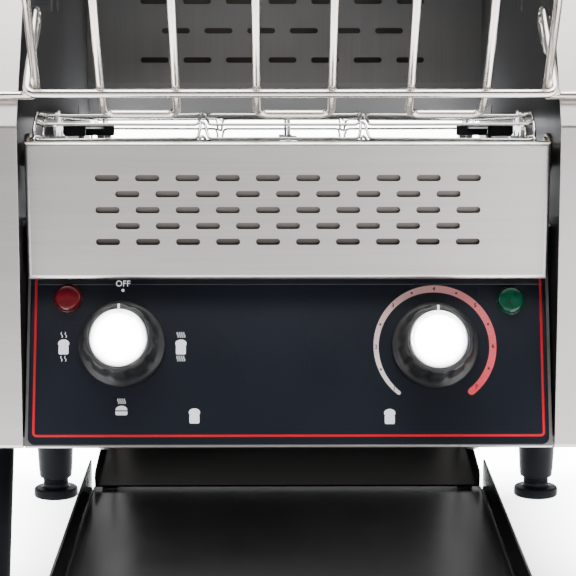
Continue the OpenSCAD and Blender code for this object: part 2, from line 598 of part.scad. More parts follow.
// ---------------------------------------------------------------- legs
module leg(p) translate([p[0], p[1], 0]) difference() {
  rotate_extrude() polygon([[0, 12.6], [9.2, 12.6], [10.2, 14], [14.6, 97], [15.6, 98.4], [15.6, 101.9], [0, 101.9]]);
  translate([0, 0, 12]) cylinder(r = stem_d / 2 + 0.08, h = 24);
  translate([0, 0, 84]) cylinder(r = 4.05, h = 20);
}
module leg_bolt(p) translate([p[0], p[1], 0]) {
  translate([0, 0, 86]) cylinder(r = 4, h = 20);
  translate([0, 0, zb + t]) cylinder(r = 7.5, h = 4.5, $fn = 6);
}
module foot(p) translate([p[0], p[1], 0]) rotate_extrude() polygon([[0, 0], [foot_d / 2 - 1, 0],
  [foot_d / 2, 1], [foot_d / 2, 5.2], [foot_d / 2 - 0.8, 6], [stem_d / 2, 6], [stem_d / 2, 34], [0, 34]]);
module front_left_leg() color([0.15, 0.15, 0.16]) place() leg(leg_xy[0]);
module front_right_leg() color([0.15, 0.15, 0.16]) place() leg(leg_xy[1]);
module rear_left_leg() color([0.15, 0.15, 0.16]) place() leg(leg_xy[2]);
module rear_right_leg() color([0.15, 0.15, 0.16]) place() leg(leg_xy[3]);
module front_left_foot() color([0.13, 0.13, 0.14]) place() foot(leg_xy[0]);
module front_right_foot() color([0.13, 0.13, 0.14]) place() foot(leg_xy[1]);
module rear_left_foot() color([0.13, 0.13, 0.14]) place() foot(leg_xy[2]);
module rear_right_foot() color([0.13, 0.13, 0.14]) place() foot(leg_xy[3]);

// ---------------------------------------------------------------- fasteners
module screw() {
  rotate_extrude() polygon([[0, 0], [screw_head_r, 0], [screw_head_r - 0.4, 1.1], [screw_head_r - 1.4, 1.6], [0, 1.7]]);
  translate([0, 0, -6]) cylinder(r = 1.5, h = 6.5, $fn = 24);
}
module casing_screws() color([0.72, 0.72, 0.72]) place() {
  for (p = screw_side) {
    translate([xl, p[0], p[1]]) rotate([0, -90, 0]) screw();
    translate([xr, p[0], p[1]]) rotate([0, 90, 0]) screw();
  }
  for (z = screw_back_z, x = [xl + left_box_w / 2, tun + right_box_w / 2])
    translate([x, yb, z]) rotate([-90, 0, 0]) screw();
  for (s = [-1, 1]) translate([s * 90, yb, top_z - 8]) rotate([-90, 0, 0]) screw();
  for (x = [-86.9, 86.8]) translate([x, 6, 102.1]) rotate([180, 0, 0]) screw();
  for (s = [-1, 1]) translate([s * 90, yb, 268]) {
    rotate([-90, 0, 0]) screw();
    translate([0, -8.4, 0]) rotate([-90, 0, 0]) cylinder(r = 1.5, h = 4, $fn = 24);
  }
  for (p = leg_xy) leg_bolt(p);
}

left_side_cover();
right_side_cover();
left_inner_wall();
right_inner_wall();
top_cover();
rear_panel();
rear_cover();
rear_crossbar();
front_cover();
control_panel();
panel_overlay();
control_box();
toast_slide();
slide_hangers();
slide_studs();
toast_tray();
left_tray_guide();
right_tray_guide();
loading_rack();
rack_pins();
conveyor_belt();
drive_shaft();
drive_belt_sprockets();
chain_wheel();
idler_shaft();
idler_belt_sprockets();
shaft_bushes();
left_belt_rail();
right_belt_rail();
gear_motor();
motor_bracket();
motor_shaft();
motor_pinion();
drive_chain();
upper_quartz_tubes();
lower_quartz_tubes();
heater_ends();
upper_reflector();
lower_reflector();
selector_knob();
selector_knob_cap();
selector_spindle();
selector_switch();
speed_knob();
speed_knob_cap();
speed_spindle();
speed_control();
red_lamp();
green_lamp();
terminal_block();
cable_gland();
front_left_leg();
front_right_leg();
rear_left_leg();
rear_right_leg();
front_left_foot();
front_right_foot();
rear_left_foot();
rear_right_foot();
casing_screws();
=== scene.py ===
import math
import random

import bmesh
import bpy
from mathutils import Matrix, Vector
from mathutils.geometry import tessellate_polygon


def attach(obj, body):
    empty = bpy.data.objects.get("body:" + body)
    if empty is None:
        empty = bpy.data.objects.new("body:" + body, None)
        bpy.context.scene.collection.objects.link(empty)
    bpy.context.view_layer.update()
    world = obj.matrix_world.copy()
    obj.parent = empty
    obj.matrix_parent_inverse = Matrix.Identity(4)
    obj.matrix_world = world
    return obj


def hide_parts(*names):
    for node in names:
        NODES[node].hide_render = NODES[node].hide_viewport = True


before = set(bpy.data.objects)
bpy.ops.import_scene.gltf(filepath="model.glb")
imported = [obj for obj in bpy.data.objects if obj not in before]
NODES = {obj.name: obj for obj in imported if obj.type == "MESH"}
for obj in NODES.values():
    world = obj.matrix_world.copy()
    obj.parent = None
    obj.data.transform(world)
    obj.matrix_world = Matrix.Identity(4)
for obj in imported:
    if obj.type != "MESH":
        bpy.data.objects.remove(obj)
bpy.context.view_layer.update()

scene = bpy.context.scene
MM = 0.001
OX, OY = -7.0, -122.25      # drawing frame to object frame, mm


def P(x, y, z):
    """A point of the drawing frame (mm) in the object's frame (m)."""
    return Vector(((x + OX) * MM, (y + OY) * MM, z * MM))


def frame_at(o, x, y, z):
    """Matrix from a local frame in mm (axes x, y, z, origin o in drawing mm) to the object's frame."""
    m = Matrix.Identity(4)
    for i, a in enumerate((x, y, z)):
        for j in range(3):
            m[j][i] = a[j] * MM
    p = P(*o)
    for j in range(3):
        m[j][3] = p[j]
    return m


def cs(deg):
    return math.cos(math.radians(deg)), math.sin(math.radians(deg))


C18, S18 = cs(18)
C26, S26 = cs(2.6)
PANEL = frame_at((0, 0.7, 104), (1, 0, 0), (0, S18, C18), (0, -C18, S18))      # u across, v up the panel, w out of it
COVER = frame_at((0, 15, 181.5), (1, 0, 0), (0, -S26, C26), (0, -C26, -S26))
WORLD = frame_at((0, 0, 0), (1, 0, 0), (0, 1, 0), (0, 0, 1))
SIDE = frame_at((0, 0, 0), (0, 1, 0), (0, 0, 1), (1, 0, 0))                   # local (Y, Z) outline, drawn out along X


# ------------------------------------------------------------------ materials
def new_mat(name):
    m = bpy.data.materials.new(name)
    m.use_nodes = True
    nt = m.node_tree
    b = nt.nodes["Principled BSDF"]
    return m, nt, b


def node(nt, kind, **props):
    n = nt.nodes.new(kind)
    for k, v in props.items():
        if k in n.inputs:
            n.inputs[k].default_value = v
        else:
            setattr(n, k, v)
    return n


def coords(nt, scale=(1, 1, 1), rot=(0, 0, 0)):
    tc = node(nt, "ShaderNodeTexCoord")
    mp = node(nt, "ShaderNodeMapping")
    mp.inputs["Scale"].default_value = scale
    mp.inputs["Rotation"].default_value = rot
    nt.links.new(tc.outputs["Object"], mp.inputs["Vector"])
    return mp.outputs["Vector"]


def noise(nt, vec, scale, detail=4.0, rough=0.5, dist=0.0):
    n = node(nt, "ShaderNodeTexNoise")
    n.inputs["Scale"].default_value = scale
    n.inputs["Detail"].default_value = detail
    n.inputs["Roughness"].default_value = rough
    n.inputs["Distortion"].default_value = dist
    nt.links.new(vec, n.inputs["Vector"])
    return n.outputs["Fac"]


def ramp(nt, fac, stops):
    r = node(nt, "ShaderNodeValToRGB")
    e = r.color_ramp.elements
    while len(e) > 1:
        e.remove(e[-1])
    e[0].position, e[0].color = stops[0][0], (*stops[0][1], 1) if len(stops[0][1]) == 3 else stops[0][1]
    for p, c in stops[1:]:
        x = e.new(p)
        x.color = (*c, 1) if len(c) == 3 else c
    nt.links.new(fac, r.inputs["Fac"])
    return r.outputs["Color"]


def span(nt, fac, a, b, f0=0.0, f1=1.0):
    r = node(nt, "ShaderNodeMapRange")
    r.inputs["From Min"].default_value = f0
    r.inputs["From Max"].default_value = f1
    r.inputs["To Min"].default_value = a
    r.inputs["To Max"].default_value = b
    nt.links.new(fac, r.inputs["Value"])
    return r.outputs["Result"]


def mix(nt, fac, a, b, mode="MIX"):
    m = node(nt, "ShaderNodeMix", data_type="RGBA", blend_type=mode)
    for s, v in ((m.inputs[0], fac), (m.inputs[6], a), (m.inputs[7], b)):
        if hasattr(v, "is_linked") or isinstance(v, bpy.types.NodeSocket):
            nt.links.new(v, s)
        elif isinstance(v, (tuple, list)):
            s.default_value = (*v, 1) if len(v) == 3 else v
        else:
            s.default_value = v
    return m.outputs[2]


def math_(nt, op, a, b=0.0):
    m = node(nt, "ShaderNodeMath", operation=op)
    for s, v in ((m.inputs[0], a), (m.inputs[1], b)):
        if isinstance(v, bpy.types.NodeSocket):
            nt.links.new(v, s)
        else:
            s.default_value = v
    return m.outputs[0]


def bump(nt, b, height, strength=0.2, dist=0.0002):
    n = node(nt, "ShaderNodeBump")
    n.inputs["Strength"].default_value = strength
    n.inputs["Distance"].default_value = dist
    nt.links.new(height, n.inputs["Height"])
    nt.links.new(n.outputs["Normal"], b.inputs["Normal"])
    return n


def rgb(h):
    """sRGB hex to linear."""
    v = [int(h[i:i + 2], 16) / 255 for i in (0, 2, 4)]
    return tuple(c / 12.92 if c <= 0.04045 else ((c + 0.055) / 1.055) ** 2.4 for c in v)


def brushed(name, colour, rough=0.3, grain="x", spread=0.07, amount=0.06, bump_s=0.12, metal=1.0, aniso=0.0, smudge=0.05, grazing=1.0, wear=1.0, painted_light_shade_end=None):
    """Sheet steel with a fine brushed grain along one axis, faint handling marks and edge wear."""
    m, nt, b = new_mat(name)
    s = {"x": (9, 900, 900), "y": (900, 9, 900), "z": (900, 900, 9)}[grain]
    fine = noise(nt, coords(nt, s), 1.0, 6, 0.65)
    s2 = {"x": (2, 160, 160), "y": (160, 2, 160), "z": (160, 160, 2)}[grain]
    mid = noise(nt, coords(nt, s2), 1.0, 3, 0.5)
    cloud = noise(nt, coords(nt), 7.0, 3, 0.5)
    g = math_(nt, "ADD", math_(nt, "MULTIPLY", fine, 0.6), math_(nt, "MULTIPLY", mid, 0.4))
    dark = tuple(c * (1 - amount * 2) for c in colour)
    lite = tuple(min(1, c * (1 + amount)) for c in colour)
    col = ramp(nt, g, [(0.3, dark), (0.7, lite)])
    col = mix(nt, span(nt, cloud, 0, smudge * 2, 0.4, 0.7), col, tuple(c * 0.82 for c in colour))
    geo = node(nt, "ShaderNodeNewGeometry")
    edge = span(nt, geo.outputs["Pointiness"], 0, 0.5 * wear, 0.52, 0.6)
    col = mix(nt, edge, col, tuple(min(1, c * 1.15 + 0.03) for c in colour))
    if painted_light_shade_end:
        # painted light and shade towards one end, along Y or along Z: painted shade over the tunnel walls' open front
        # and the rear wall's top, painted light over the baffle's top
        sep = node(nt, "ShaderNodeSeparateXYZ")
        nt.links.new(coords(nt), sep.inputs[0])
        end = span(nt, sep.outputs["Z"], 0, 1, painted_light_shade_end[0], painted_light_shade_end[1]) if len(painted_light_shade_end) > 3 else span(nt, sep.outputs["Y"], 1, 0, painted_light_shade_end[0], painted_light_shade_end[1])
        col = mix(nt, end, col, tuple(c * painted_light_shade_end[2] for c in colour))
    nt.links.new(col, b.inputs["Base Color"])
    r = math_(nt, "ADD", span(nt, g, rough - spread, rough + spread), span(nt, cloud, -smudge, smudge, 0.3, 0.7))
    nt.links.new(r, b.inputs["Roughness"])
    b.inputs["Metallic"].default_value = metal
    b.inputs["Specular Tint"].default_value = (grazing, grazing, grazing, 1)
    if aniso:
        b.inputs["Anisotropic"].default_value = aniso
    bump(nt, b, g, bump_s, 0.00006)
    return m


def wire_metal(name, colour, rough=0.13, spot=0.05, tint=None):
    """Drawn or plated wire: bright, with faint draw lines and a few darker specks."""
    m, nt, b = new_mat(name)
    v = coords(nt)
    n1 = noise(nt, v, 420, 4, 0.6)
    n2 = noise(nt, v, 38, 4, 0.6)
    col = ramp(nt, n2, [(0.3, tuple(c * (1 - spot) for c in colour)), (0.62, colour)])
    if tint:
        spotty = span(nt, noise(nt, v, 95, 3, 0.6), 0, 0.6, 0.62, 0.75)
        col = mix(nt, spotty, col, tint)
    nt.links.new(col, b.inputs["Base Color"])
    b.inputs["Metallic"].default_value = 1.0
    nt.links.new(span(nt, n1, rough - 0.04, rough + 0.06, 0.3, 0.7), b.inputs["Roughness"])
    bump(nt, b, n1, 0.03, 0.00004)
    return m


def plastic(name, colour, rough=0.4, grain=650, amount=0.12, bump_s=0.12, coat=0.0, vary=0.1, spec=0.5, worn=0.35):
    """Moulded plastic: fine texture, soft colour drift and dust that dulls it a little."""
    m, nt, b = new_mat(name)
    v = coords(nt)
    fine = noise(nt, v, grain, 4, 0.6)
    slow = noise(nt, v, 24, 4, 0.55)
    col = ramp(nt, slow, [(0.3, tuple(c * (1 - vary) for c in colour)), (0.7, tuple(min(1, c * (1 + vary)) for c in colour))])
    geo = node(nt, "ShaderNodeNewGeometry")
    edge = span(nt, geo.outputs["Pointiness"], 0, worn, 0.53, 0.62)
    col = mix(nt, edge, col, tuple(min(1, c * 1.8 + 0.02) for c in colour))
    nt.links.new(col, b.inputs["Base Color"])
    nt.links.new(math_(nt, "ADD", span(nt, fine, rough - amount / 2, rough + amount / 2, 0.3, 0.7), span(nt, slow, -0.03, 0.05, 0.3, 0.7)), b.inputs["Roughness"])
    b.inputs["Specular IOR Level"].default_value = spec
    if coat:
        b.inputs["Coat Weight"].default_value = coat
        b.inputs["Coat Roughness"].default_value = 0.08
    bump(nt, b, fine, bump_s, 0.00008)
    return m


def ink(name, colour, rough=0.3, lift=0.0):
    """Screen-printed ink: nearly flat colour with the slight mottle of a print."""
    m, nt, b = new_mat(name)
    n = noise(nt, coords(nt), 1400, 3, 0.5)
    col = ramp(nt, n, [(0.35, tuple(c * 0.9 for c in colour)), (0.6, colour)])
    nt.links.new(col, b.inputs["Base Color"])
    nt.links.new(span(nt, n, rough - 0.05, rough + 0.08), b.inputs["Roughness"])
    if lift:
        # painted light: the ink glows a little by emission, so it reads paler than its surroundings
        nt.links.new(col, b.inputs["Emission Color"])
        b.inputs["Emission Strength"].default_value = lift
    return m


def lens(name, colour, deep):
    """Moulded transparent plastic over a small lamp."""
    m, nt, b = new_mat(name)
    v = coords(nt)
    n = noise(nt, v, 260, 3, 0.5)
    col = ramp(nt, n, [(0.35, deep), (0.65, colour)])
    nt.links.new(col, b.inputs["Base Color"])
    nt.links.new(span(nt, n, 0.06, 0.14), b.inputs["Roughness"])
    b.inputs["Transmission Weight"].default_value = 0.15
    b.inputs["IOR"].default_value = 1.5
    b.inputs["Coat Weight"].default_value = 0.2
    b.inputs["Coat Roughness"].default_value = 0.05
    return m


def spun(name, centre):
    """Spun aluminium: fine concentric turning lines about the knob's axis."""
    m, nt, b = new_mat(name)
    tc = node(nt, "ShaderNodeTexCoord")
    sub = node(nt, "ShaderNodeVectorMath", operation="SUBTRACT")
    sub.inputs[1].default_value = centre
    nt.links.new(tc.outputs["Object"], sub.inputs[0])
    ln = node(nt, "ShaderNodeVectorMath", operation="LENGTH")
    nt.links.new(sub.outputs["Vector"], ln.inputs[0])
    cm = node(nt, "ShaderNodeCombineXYZ")
    nt.links.new(ln.outputs["Value"], cm.inputs["X"])
    n = noise(nt, cm.outputs["Vector"], 9000, 3, 0.6)
    cloud = noise(nt, tc.outputs["Object"], 60, 3, 0.5)
    col = ramp(nt, n, [(0.3, (0.80, 0.80, 0.81)), (0.7, (0.95, 0.95, 0.96))])
    nt.links.new(col, b.inputs["Base Color"])
    b.inputs["Metallic"].default_value = 1.0
    b.inputs["Anisotropic"].default_value = 0.5
    nt.links.new(math_(nt, "ADD", span(nt, n, 0.26, 0.4), span(nt, cloud, -0.03, 0.03)), b.inputs["Roughness"])
    bump(nt, b, n, 0.25, 0.00004)
    return m


def ceramic_mat(name, colour, rough=0.6):
    m, nt, b = new_mat(name)
    v = coords(nt)
    n = noise(nt, v, 300, 5, 0.6)
    col = ramp(nt, n, [(0.3, tuple(c * 0.85 for c in colour)), (0.7, colour)])
    nt.links.new(col, b.inputs["Base Color"])
    nt.links.new(span(nt, n, rough - 0.1, rough + 0.1), b.inputs["Roughness"])
    bump(nt, b, n, 0.15, 0.0001)
    return m


def quartz_mat(name):
    m, nt, b = new_mat(name)
    v = coords(nt, (1, 30, 30))
    n = noise(nt, v, 12, 3, 0.5)
    col = ramp(nt, n, [(0.35, (0.78, 0.76, 0.72)), (0.65, (0.92, 0.91, 0.88))])
    nt.links.new(col, b.inputs["Base Color"])
    nt.links.new(span(nt, n, 0.25, 0.42), b.inputs["Roughness"])
    b.inputs["Transmission Weight"].default_value = 0.45
    b.inputs["IOR"].default_value = 1.46
    return m


def overlay_mat(name):
    """Printed polyester sheet: deep navy under a clear glossy face with faint ripple, dust and hair scratches."""
    m, nt, b = new_mat(name)
    v = coords(nt)
    slow = noise(nt, v, 14, 3, 0.5)
    dust = noise(nt, v, 900, 3, 0.7)
    col = ramp(nt, slow, [(0.35, (0.0085, 0.0105, 0.0155)), (0.65, (0.0115, 0.014, 0.021))])
    speck = span(nt, dust, 0, 0.35, 0.74, 0.8)
    col = mix(nt, speck, col, (0.06, 0.065, 0.08))
    nt.links.new(col, b.inputs["Base Color"])
    nt.links.new(math_(nt, "ADD", span(nt, slow, 0.025, 0.04, 0.3, 0.7), span(nt, dust, 0, 0.2, 0.68, 0.8)), b.inputs["Roughness"])
    b.inputs["Specular IOR Level"].default_value = 0.5
    bump(nt, b, slow, 0.015, 0.0003)
    return m


MAT = {}
MAT["stainless"] = brushed("stainless_sheet", (0.575, 0.542, 0.535), 0.34, "x", smudge=0.04)
# a much darker copy of the sheet steel, put on the rear cover's inner side and the front cover's bottom flange and
# return
MAT["stained"] = brushed("heat_stained_sheet", (0.075, 0.066, 0.062), 0.45, "x", amount=0.12, smudge=0.1, grazing=0.4)
MAT["stainless_z"] = brushed("stainless_sheet_upright", (0.66, 0.64, 0.63), 0.36, "z", smudge=0.04)
MAT["stainless_y"] = brushed("stainless_sheet_side", (0.66, 0.64, 0.62), 0.34, "y", smudge=0.05)
# painted shade: the tunnel walls darken to 0.15 of their colour over the last 55 mm towards the open front
MAT["inner"] = brushed("tunnel_steel", (0.27, 0.268, 0.275), 0.40, "z", amount=0.06, smudge=0.06, grazing=0.4, painted_light_shade_end=(-0.11, -0.055, 0.15))
# painted shade: the rear wall darkens to 0.42 of its colour towards its top, under the hood
MAT["rear"] = brushed("rear_wall_steel", (0.30, 0.296, 0.3), 0.40, "z", amount=0.06, smudge=0.06, grazing=0.5, painted_light_shade_end=(0.262, 0.345, 0.42, "Z"))
# painted highlight: the front cover's rolled quarter round is the same steel made much paler, for the bright line along
# its lip
MAT["rim"] = brushed("rolled_edge_painted_highlight", (0.93, 0.895, 0.885), 0.38, "x", smudge=0.03)
# painted shade and reflection: the tray and slide steel are made near black, for the dark shade under the machine that
# they sit in and mirror
MAT["tray"] = brushed("tray_steel", (0.046, 0.045, 0.044), 0.2, "y", 0.03, 0.03, 0.05, smudge=0.05, grazing=0.55, wear=0.0)
MAT["slide"] = brushed("slide_steel", (0.04, 0.039, 0.038), 0.22, "y", 0.03, 0.03, 0.05, smudge=0.05, grazing=0.4, wear=0.0)
# painted light: the baffle turns 1.85 times paler over its upper part, behind the upper rows of slots
MAT["baffle"] = brushed("baffle_steel", (0.115, 0.103, 0.097), 0.45, "x", amount=0.1, smudge=0.08, grazing=0.5, painted_light_shade_end=(0.199, 0.208, 1.85, "Z"))
MAT["plated"] = brushed("plated_steel", (0.58, 0.58, 0.59), 0.34, "x", smudge=0.06)
MAT["chrome"] = wire_metal("chrome_wire", (0.93, 0.88, 0.82), 0.19, 0.03, (0.74, 0.66, 0.57))
MAT["belt"] = wire_metal("belt_wire", (0.70, 0.68, 0.64), 0.2, 0.18, (0.30, 0.24, 0.18))
MAT["shaft"] = brushed("ground_bar", (0.6, 0.6, 0.62), 0.25, "x")
MAT["chain"] = brushed("oiled_steel", (0.16, 0.15, 0.145), 0.35, "x", amount=0.15, smudge=0.1)
MAT["bronze"] = brushed("sintered_bronze", (0.17, 0.14, 0.105), 0.42, "x", amount=0.1)
MAT["rail"] = plastic("heat_coating", (0.03, 0.03, 0.032), 0.5, 500)
MAT["motor"] = plastic("motor_paint", (0.20, 0.21, 0.22), 0.42, 700)
MAT["knob"] = plastic("knob_moulding", (0.015, 0.0155, 0.017), 0.36, 900, 0.05, 0.03, vary=0.04, spec=0.4, worn=0.03)
MAT["switch"] = plastic("switch_moulding", (0.03, 0.03, 0.033), 0.5)
MAT["board"] = plastic("circuit_board", (0.03, 0.12, 0.05), 0.35, 500)
MAT["legs"] = plastic("leg_moulding", (0.004, 0.0044, 0.0054), 0.46, 420, 0.1, 0.14, spec=0.02)
MAT["terminal"] = plastic("terminal_moulding", (0.75, 0.75, 0.70), 0.4)
MAT["overlay"] = overlay_mat("printed_overlay")
# the white ink glows a little (painted light), also on the knobs' pointer lines
MAT["ink_white"] = ink("ink_white", rgb("f0f2fa"), 0.32, 0.45)
MAT["ink_red"] = ink("ink_red", rgb("cc1a2a"), 0.3)
MAT["ink_dark"] = ink("ink_dark", rgb("120809"), 0.35)
MAT["red_lens"] = lens("red_lens", (0.15, 0.006, 0.011), (0.09, 0.004, 0.008))
MAT["green_lens"] = lens("green_lens", (0.002, 0.072, 0.036), (0.001, 0.046, 0.023))
MAT["ceramic"] = ceramic_mat("steatite", (0.80, 0.78, 0.72))
MAT["quartz"] = quartz_mat("frosted_quartz")


# ------------------------------------------------------------------ mesh helpers
def finish_obj(name, verts, faces, mat, body, smooth=38, slot=None, replaces=(), mats=None, face_mats=None):
    me = bpy.data.meshes.new(name)
    me.from_pydata([tuple(v) for v in verts], [], faces)
    me.validate()
    bm = bmesh.new()
    bm.from_mesh(me)
    bmesh.ops.recalc_face_normals(bm, faces=bm.faces)
    bm.to_mesh(me)
    bm.free()
    for p in me.polygons:
        p.use_smooth = True
    me.set_sharp_from_angle(angle=math.radians(smooth))
    for m in (mats or [mat]):
        me.materials.append(m)
    if face_mats:
        for p, i in zip(me.polygons, face_mats):
            p.material_index = i
    o = bpy.data.objects.new(name, me)
    scene.collection.objects.link(o)
    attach(o, body)
    if smooth <= 40:
        w = o.modifiers.new("even_shading", "WEIGHTED_NORMAL")
        w.keep_sharp = True
        w.weight = 50
    if replaces:
        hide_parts(*replaces)
    return o


class Build:
    """Collects closed parts of one piece."""

    def __init__(self):
        self.v, self.f = [], []

    def add(self, verts, faces, m=None):
        k = len(self.v)
        self.v += [(m @ Vector(p)) if m is not None else Vector(p) for p in verts]
        self.f += [tuple(i + k for i in f) for f in faces]
        return self

    def done(self, name, mat, body="frame", **kw):
        return finish_obj(name, self.v, self.f, mat, body, **kw)


def area2(loop):
    return sum(loop[i - 1][0] * loop[i][1] - loop[i][0] * loop[i - 1][1] for i in range(len(loop))) / 2


def ccw(loop, want=True):
    loop = [tuple(p) for p in loop]
    return loop if (area2(loop) > 0) == want else loop[::-1]


def fillet(points, radius, seg=5, closed=True):
    """Rounds the corners of a 2D outline. radius is one number or one per corner."""
    n = len(points)
    out = []
    for i, p in enumerate(points):
        r = radius[i] if isinstance(radius, (list, tuple)) else radius
        if r <= 0 or (not closed and i in (0, n - 1)):
            out.append(tuple(p))
            continue
        p = Vector(p)
        a = (Vector(points[i - 1]) - p)
        b = (Vector(points[(i + 1) % n]) - p)
        la, lb = a.length, b.length
        a.normalize(), b.normalize()
        ang = a.angle(b)
        if ang > math.pi - 0.02:
            out.append(tuple(p))
            continue
        d = min(r / math.tan(ang / 2), la * 0.49, lb * 0.49)
        rr = d * math.tan(ang / 2)
        c = p + (a + b).normalized() * (rr / math.sin(ang / 2))
        s = p + a * d - c
        e = p + b * d - c
        tot = s.angle(e)
        for k in range(seg + 1):
            t = k / seg
            q = (s * math.sin((1 - t) * tot) + e * math.sin(t * tot)) / math.sin(tot)
            out.append(tuple(c + q))
    return out


def offset(loop, d):
    """Moves a closed counter-clockwise outline inwards by d (outwards if negative)."""
    n = len(loop)
    out = []
    for i in range(n):
        p = Vector(loop[i])
        a = (p - Vector(loop[i - 1]))
        b = (Vector(loop[(i + 1) % n]) - p)
        if a.length < 1e-9:
            a = b.copy()
        if b.length < 1e-9:
            b = a.copy()
        a.normalize(), b.normalize()
        na, nb = Vector((-a.y, a.x)), Vector((-b.y, b.x))
        m = na + nb
        if m.length < 1e-6:
            m = na
        m.normalize()
        k = max(0.35, m.dot(na))
        out.append(tuple(p + m * (d / k)))
    return out


def oblong(cx, cy, l, h, seg=8):
    r = h / 2
    pts = []
    for s, a0 in ((1, -90), (-1, 90)):
        for k in range(seg + 1):
            a = math.radians(a0 + 180 * k / seg)
            pts.append((cx + s * (l / 2 - r) + r * math.cos(a), cy + r * math.sin(a)))
    return pts


def circle2(cx, cy, r, seg=24, a0=0):
    return [(cx + r * math.cos(math.radians(a0) + 2 * math.pi * k / seg), cy + r * math.sin(math.radians(a0) + 2 * math.pi * k / seg)) for k in range(seg)]


def plate(outer, holes=(), t=1.0, b=0.15, seg=2, z=0.0):
    """A flat plate from z - t to z with rounded rims, from a closed outline and holes."""
    loops = [ccw(outer, True)] + [ccw(h, False) for h in holes]
    b = min(b, t * 0.45)
    verts, faces = [], []
    levels = []
    for k in range(seg + 1):
        a = math.pi / 2 * k / seg
        levels.append((b * (1 - math.sin(a)), z - b * (1 - math.cos(a))))
    rings = levels + [(o, 2 * (z - t / 2) - zz) for o, zz in levels[::-1]]
    caps = {0: [], len(rings) - 1: []}
    for loop in loops:
        n = len(loop)
        base = len(verts)
        for ri, (o, zz) in enumerate(rings):
            l2 = offset(loop, o) if o > 1e-9 else loop
            verts += [(x, y, zz) for x, y in l2]
            if ri in caps:
                caps[ri].append((l2, base + ri * n))
        for ri in range(len(rings) - 1):
            for i in range(n):
                j = (i + 1) % n
                faces.append((base + ri * n + i, base + ri * n + j, base + (ri + 1) * n + j, base + (ri + 1) * n + i))
    for ri, parts in caps.items():
        idx = []
        for l2, s in parts:
            idx += list(range(s, s + len(l2)))
        tris = tessellate_polygon([[Vector((x, y, 0)) for x, y in l2] for l2, s in parts])
        faces += [tuple(idx[i] for i in t3) for t3 in tris]
    return verts, faces


def lathe(profile, seg=48, cap=True):
    """Turns (r, z) points about the local Z axis."""
    verts, faces, rows = [], [], []
    for r, z in profile:
        if r < 1e-6:
            rows.append([len(verts)])
            verts.append((0, 0, z))
        else:
            rows.append(list(range(len(verts), len(verts) + seg)))
            verts += [(r * math.cos(2 * math.pi * k / seg), r * math.sin(2 * math.pi * k / seg), z) for k in range(seg)]
    for a, b in zip(rows, rows[1:]):
        for k in range(seg):
            j = (k + 1) % seg
            if len(a) == 1 and len(b) == 1:
                continue
            if len(a) == 1:
                faces.append((a[0], b[k], b[j]))
            elif len(b) == 1:
                faces.append((a[k], b[0], a[j]))
            else:
                faces.append((a[k], b[k], b[j], a[j]))
    if cap:
        if len(rows[0]) > 1:
            faces.append(tuple(rows[0]))
        if len(rows[-1]) > 1:
            faces.append(tuple(rows[-1]))
    return verts, faces


def round_profile(pts, r, seg=4):
    return fillet(pts, r, seg, closed=False)


def smooth_path(pts, radius, seg=7, closed=False):
    """Rounds the corners of a 3D wire path with true arcs."""
    out = []
    n = len(pts)
    pts = [Vector(p) for p in pts]
    for i, p in enumerate(pts):
        if not closed and i in (0, n - 1):
            out.append(p)
            continue
        r = radius[i] if isinstance(radius, (list, tuple)) else radius
        a = pts[i - 1] - p
        b = pts[(i + 1) % n] - p
        la, lb = a.length, b.length
        a.normalize(), b.normalize()
        ang = a.angle(b)
        if ang > math.pi - 0.01 or r <= 0:
            out.append(p)
            continue
        d = min(r / math.tan(ang / 2), la * 0.48, lb * 0.48)
        rr = d * math.tan(ang / 2)
        c = p + (a + b).normalized() * (rr / math.sin(ang / 2))
        s, e = p + a * d - c, p + b * d - c
        tot = s.angle(e)
        for k in range(seg + 1):
            t = k / seg
            out.append(c + (s * math.sin((1 - t) * tot) + e * math.sin(t * tot)) / math.sin(tot))
    return out


def tube(path, r, sides=12, cap=True, closed=False, radii=None):
    """A round wire along a path (mm). Ends are domed a little."""
    pts = [Vector(p) for p in path]
    clean = [pts[0]]
    for p in pts[1:]:
        if (p - clean[-1]).length > 1e-4:
            clean.append(p)
    pts = clean
    n = len(pts)
    verts, faces = [], []
    tans = []
    for i in range(n):
        if closed:
            t = pts[(i + 1) % n] - pts[i - 1]
        else:
            t = pts[min(i + 1, n - 1)] - pts[max(i - 1, 0)]
        tans.append(t.normalized())
    up = Vector((0, 0, 1)) if abs(tans[0].z) < 0.9 else Vector((0, 1, 0))
    nrm = (up - tans[0] * up.dot(tans[0])).normalized()
    rows = []
    rings = []
    for i in range(n):
        if i:
            nrm = (nrm - tans[i] * nrm.dot(tans[i]))
            nrm.normalize()
        rings.append((pts[i], tans[i], nrm.copy(), radii[i] if radii else r))
    if cap and not closed:
        p, t, m, q = rings[0]
        rings.insert(0, (p - t * q * 0.28, t, m, q * 0.62))
        p, t, m, q = rings[-1]
        rings.append((p + t * q * 0.28, t, m, q * 0.62))
    for p, t, m, q in rings:
        bi = t.cross(m)
        rows.append(list(range(len(verts), len(verts) + sides)))
        verts += [p + (m * math.cos(2 * math.pi * k / sides) + bi * math.sin(2 * math.pi * k / sides)) * q for k in range(sides)]
    pairs = list(zip(rows, rows[1:])) + ([(rows[-1], rows[0])] if closed else [])
    for a, b in pairs:
        for k in range(sides):
            j = (k + 1) % sides
            faces.append((a[k], a[j], b[j], b[k]))
    if not closed:
        faces.append(tuple(rows[0][::-1]))
        faces.append(tuple(rows[-1]))
    return verts, faces


def blob(p, r, sides=8):
    """A small lump of weld: a squashed round that sits over a wire crossing."""
    prof = [(0, -1), (0.5, -0.86), (0.86, -0.5), (1, 0), (0.86, 0.5), (0.5, 0.86), (0, 1)]
    v, f = lathe([(a * r[0], z * r[2]) for a, z in prof], sides)
    k = r[1] / r[0]
    return [(x + p[0], y * k + p[1], z + p[2]) for x, y, z in v], f


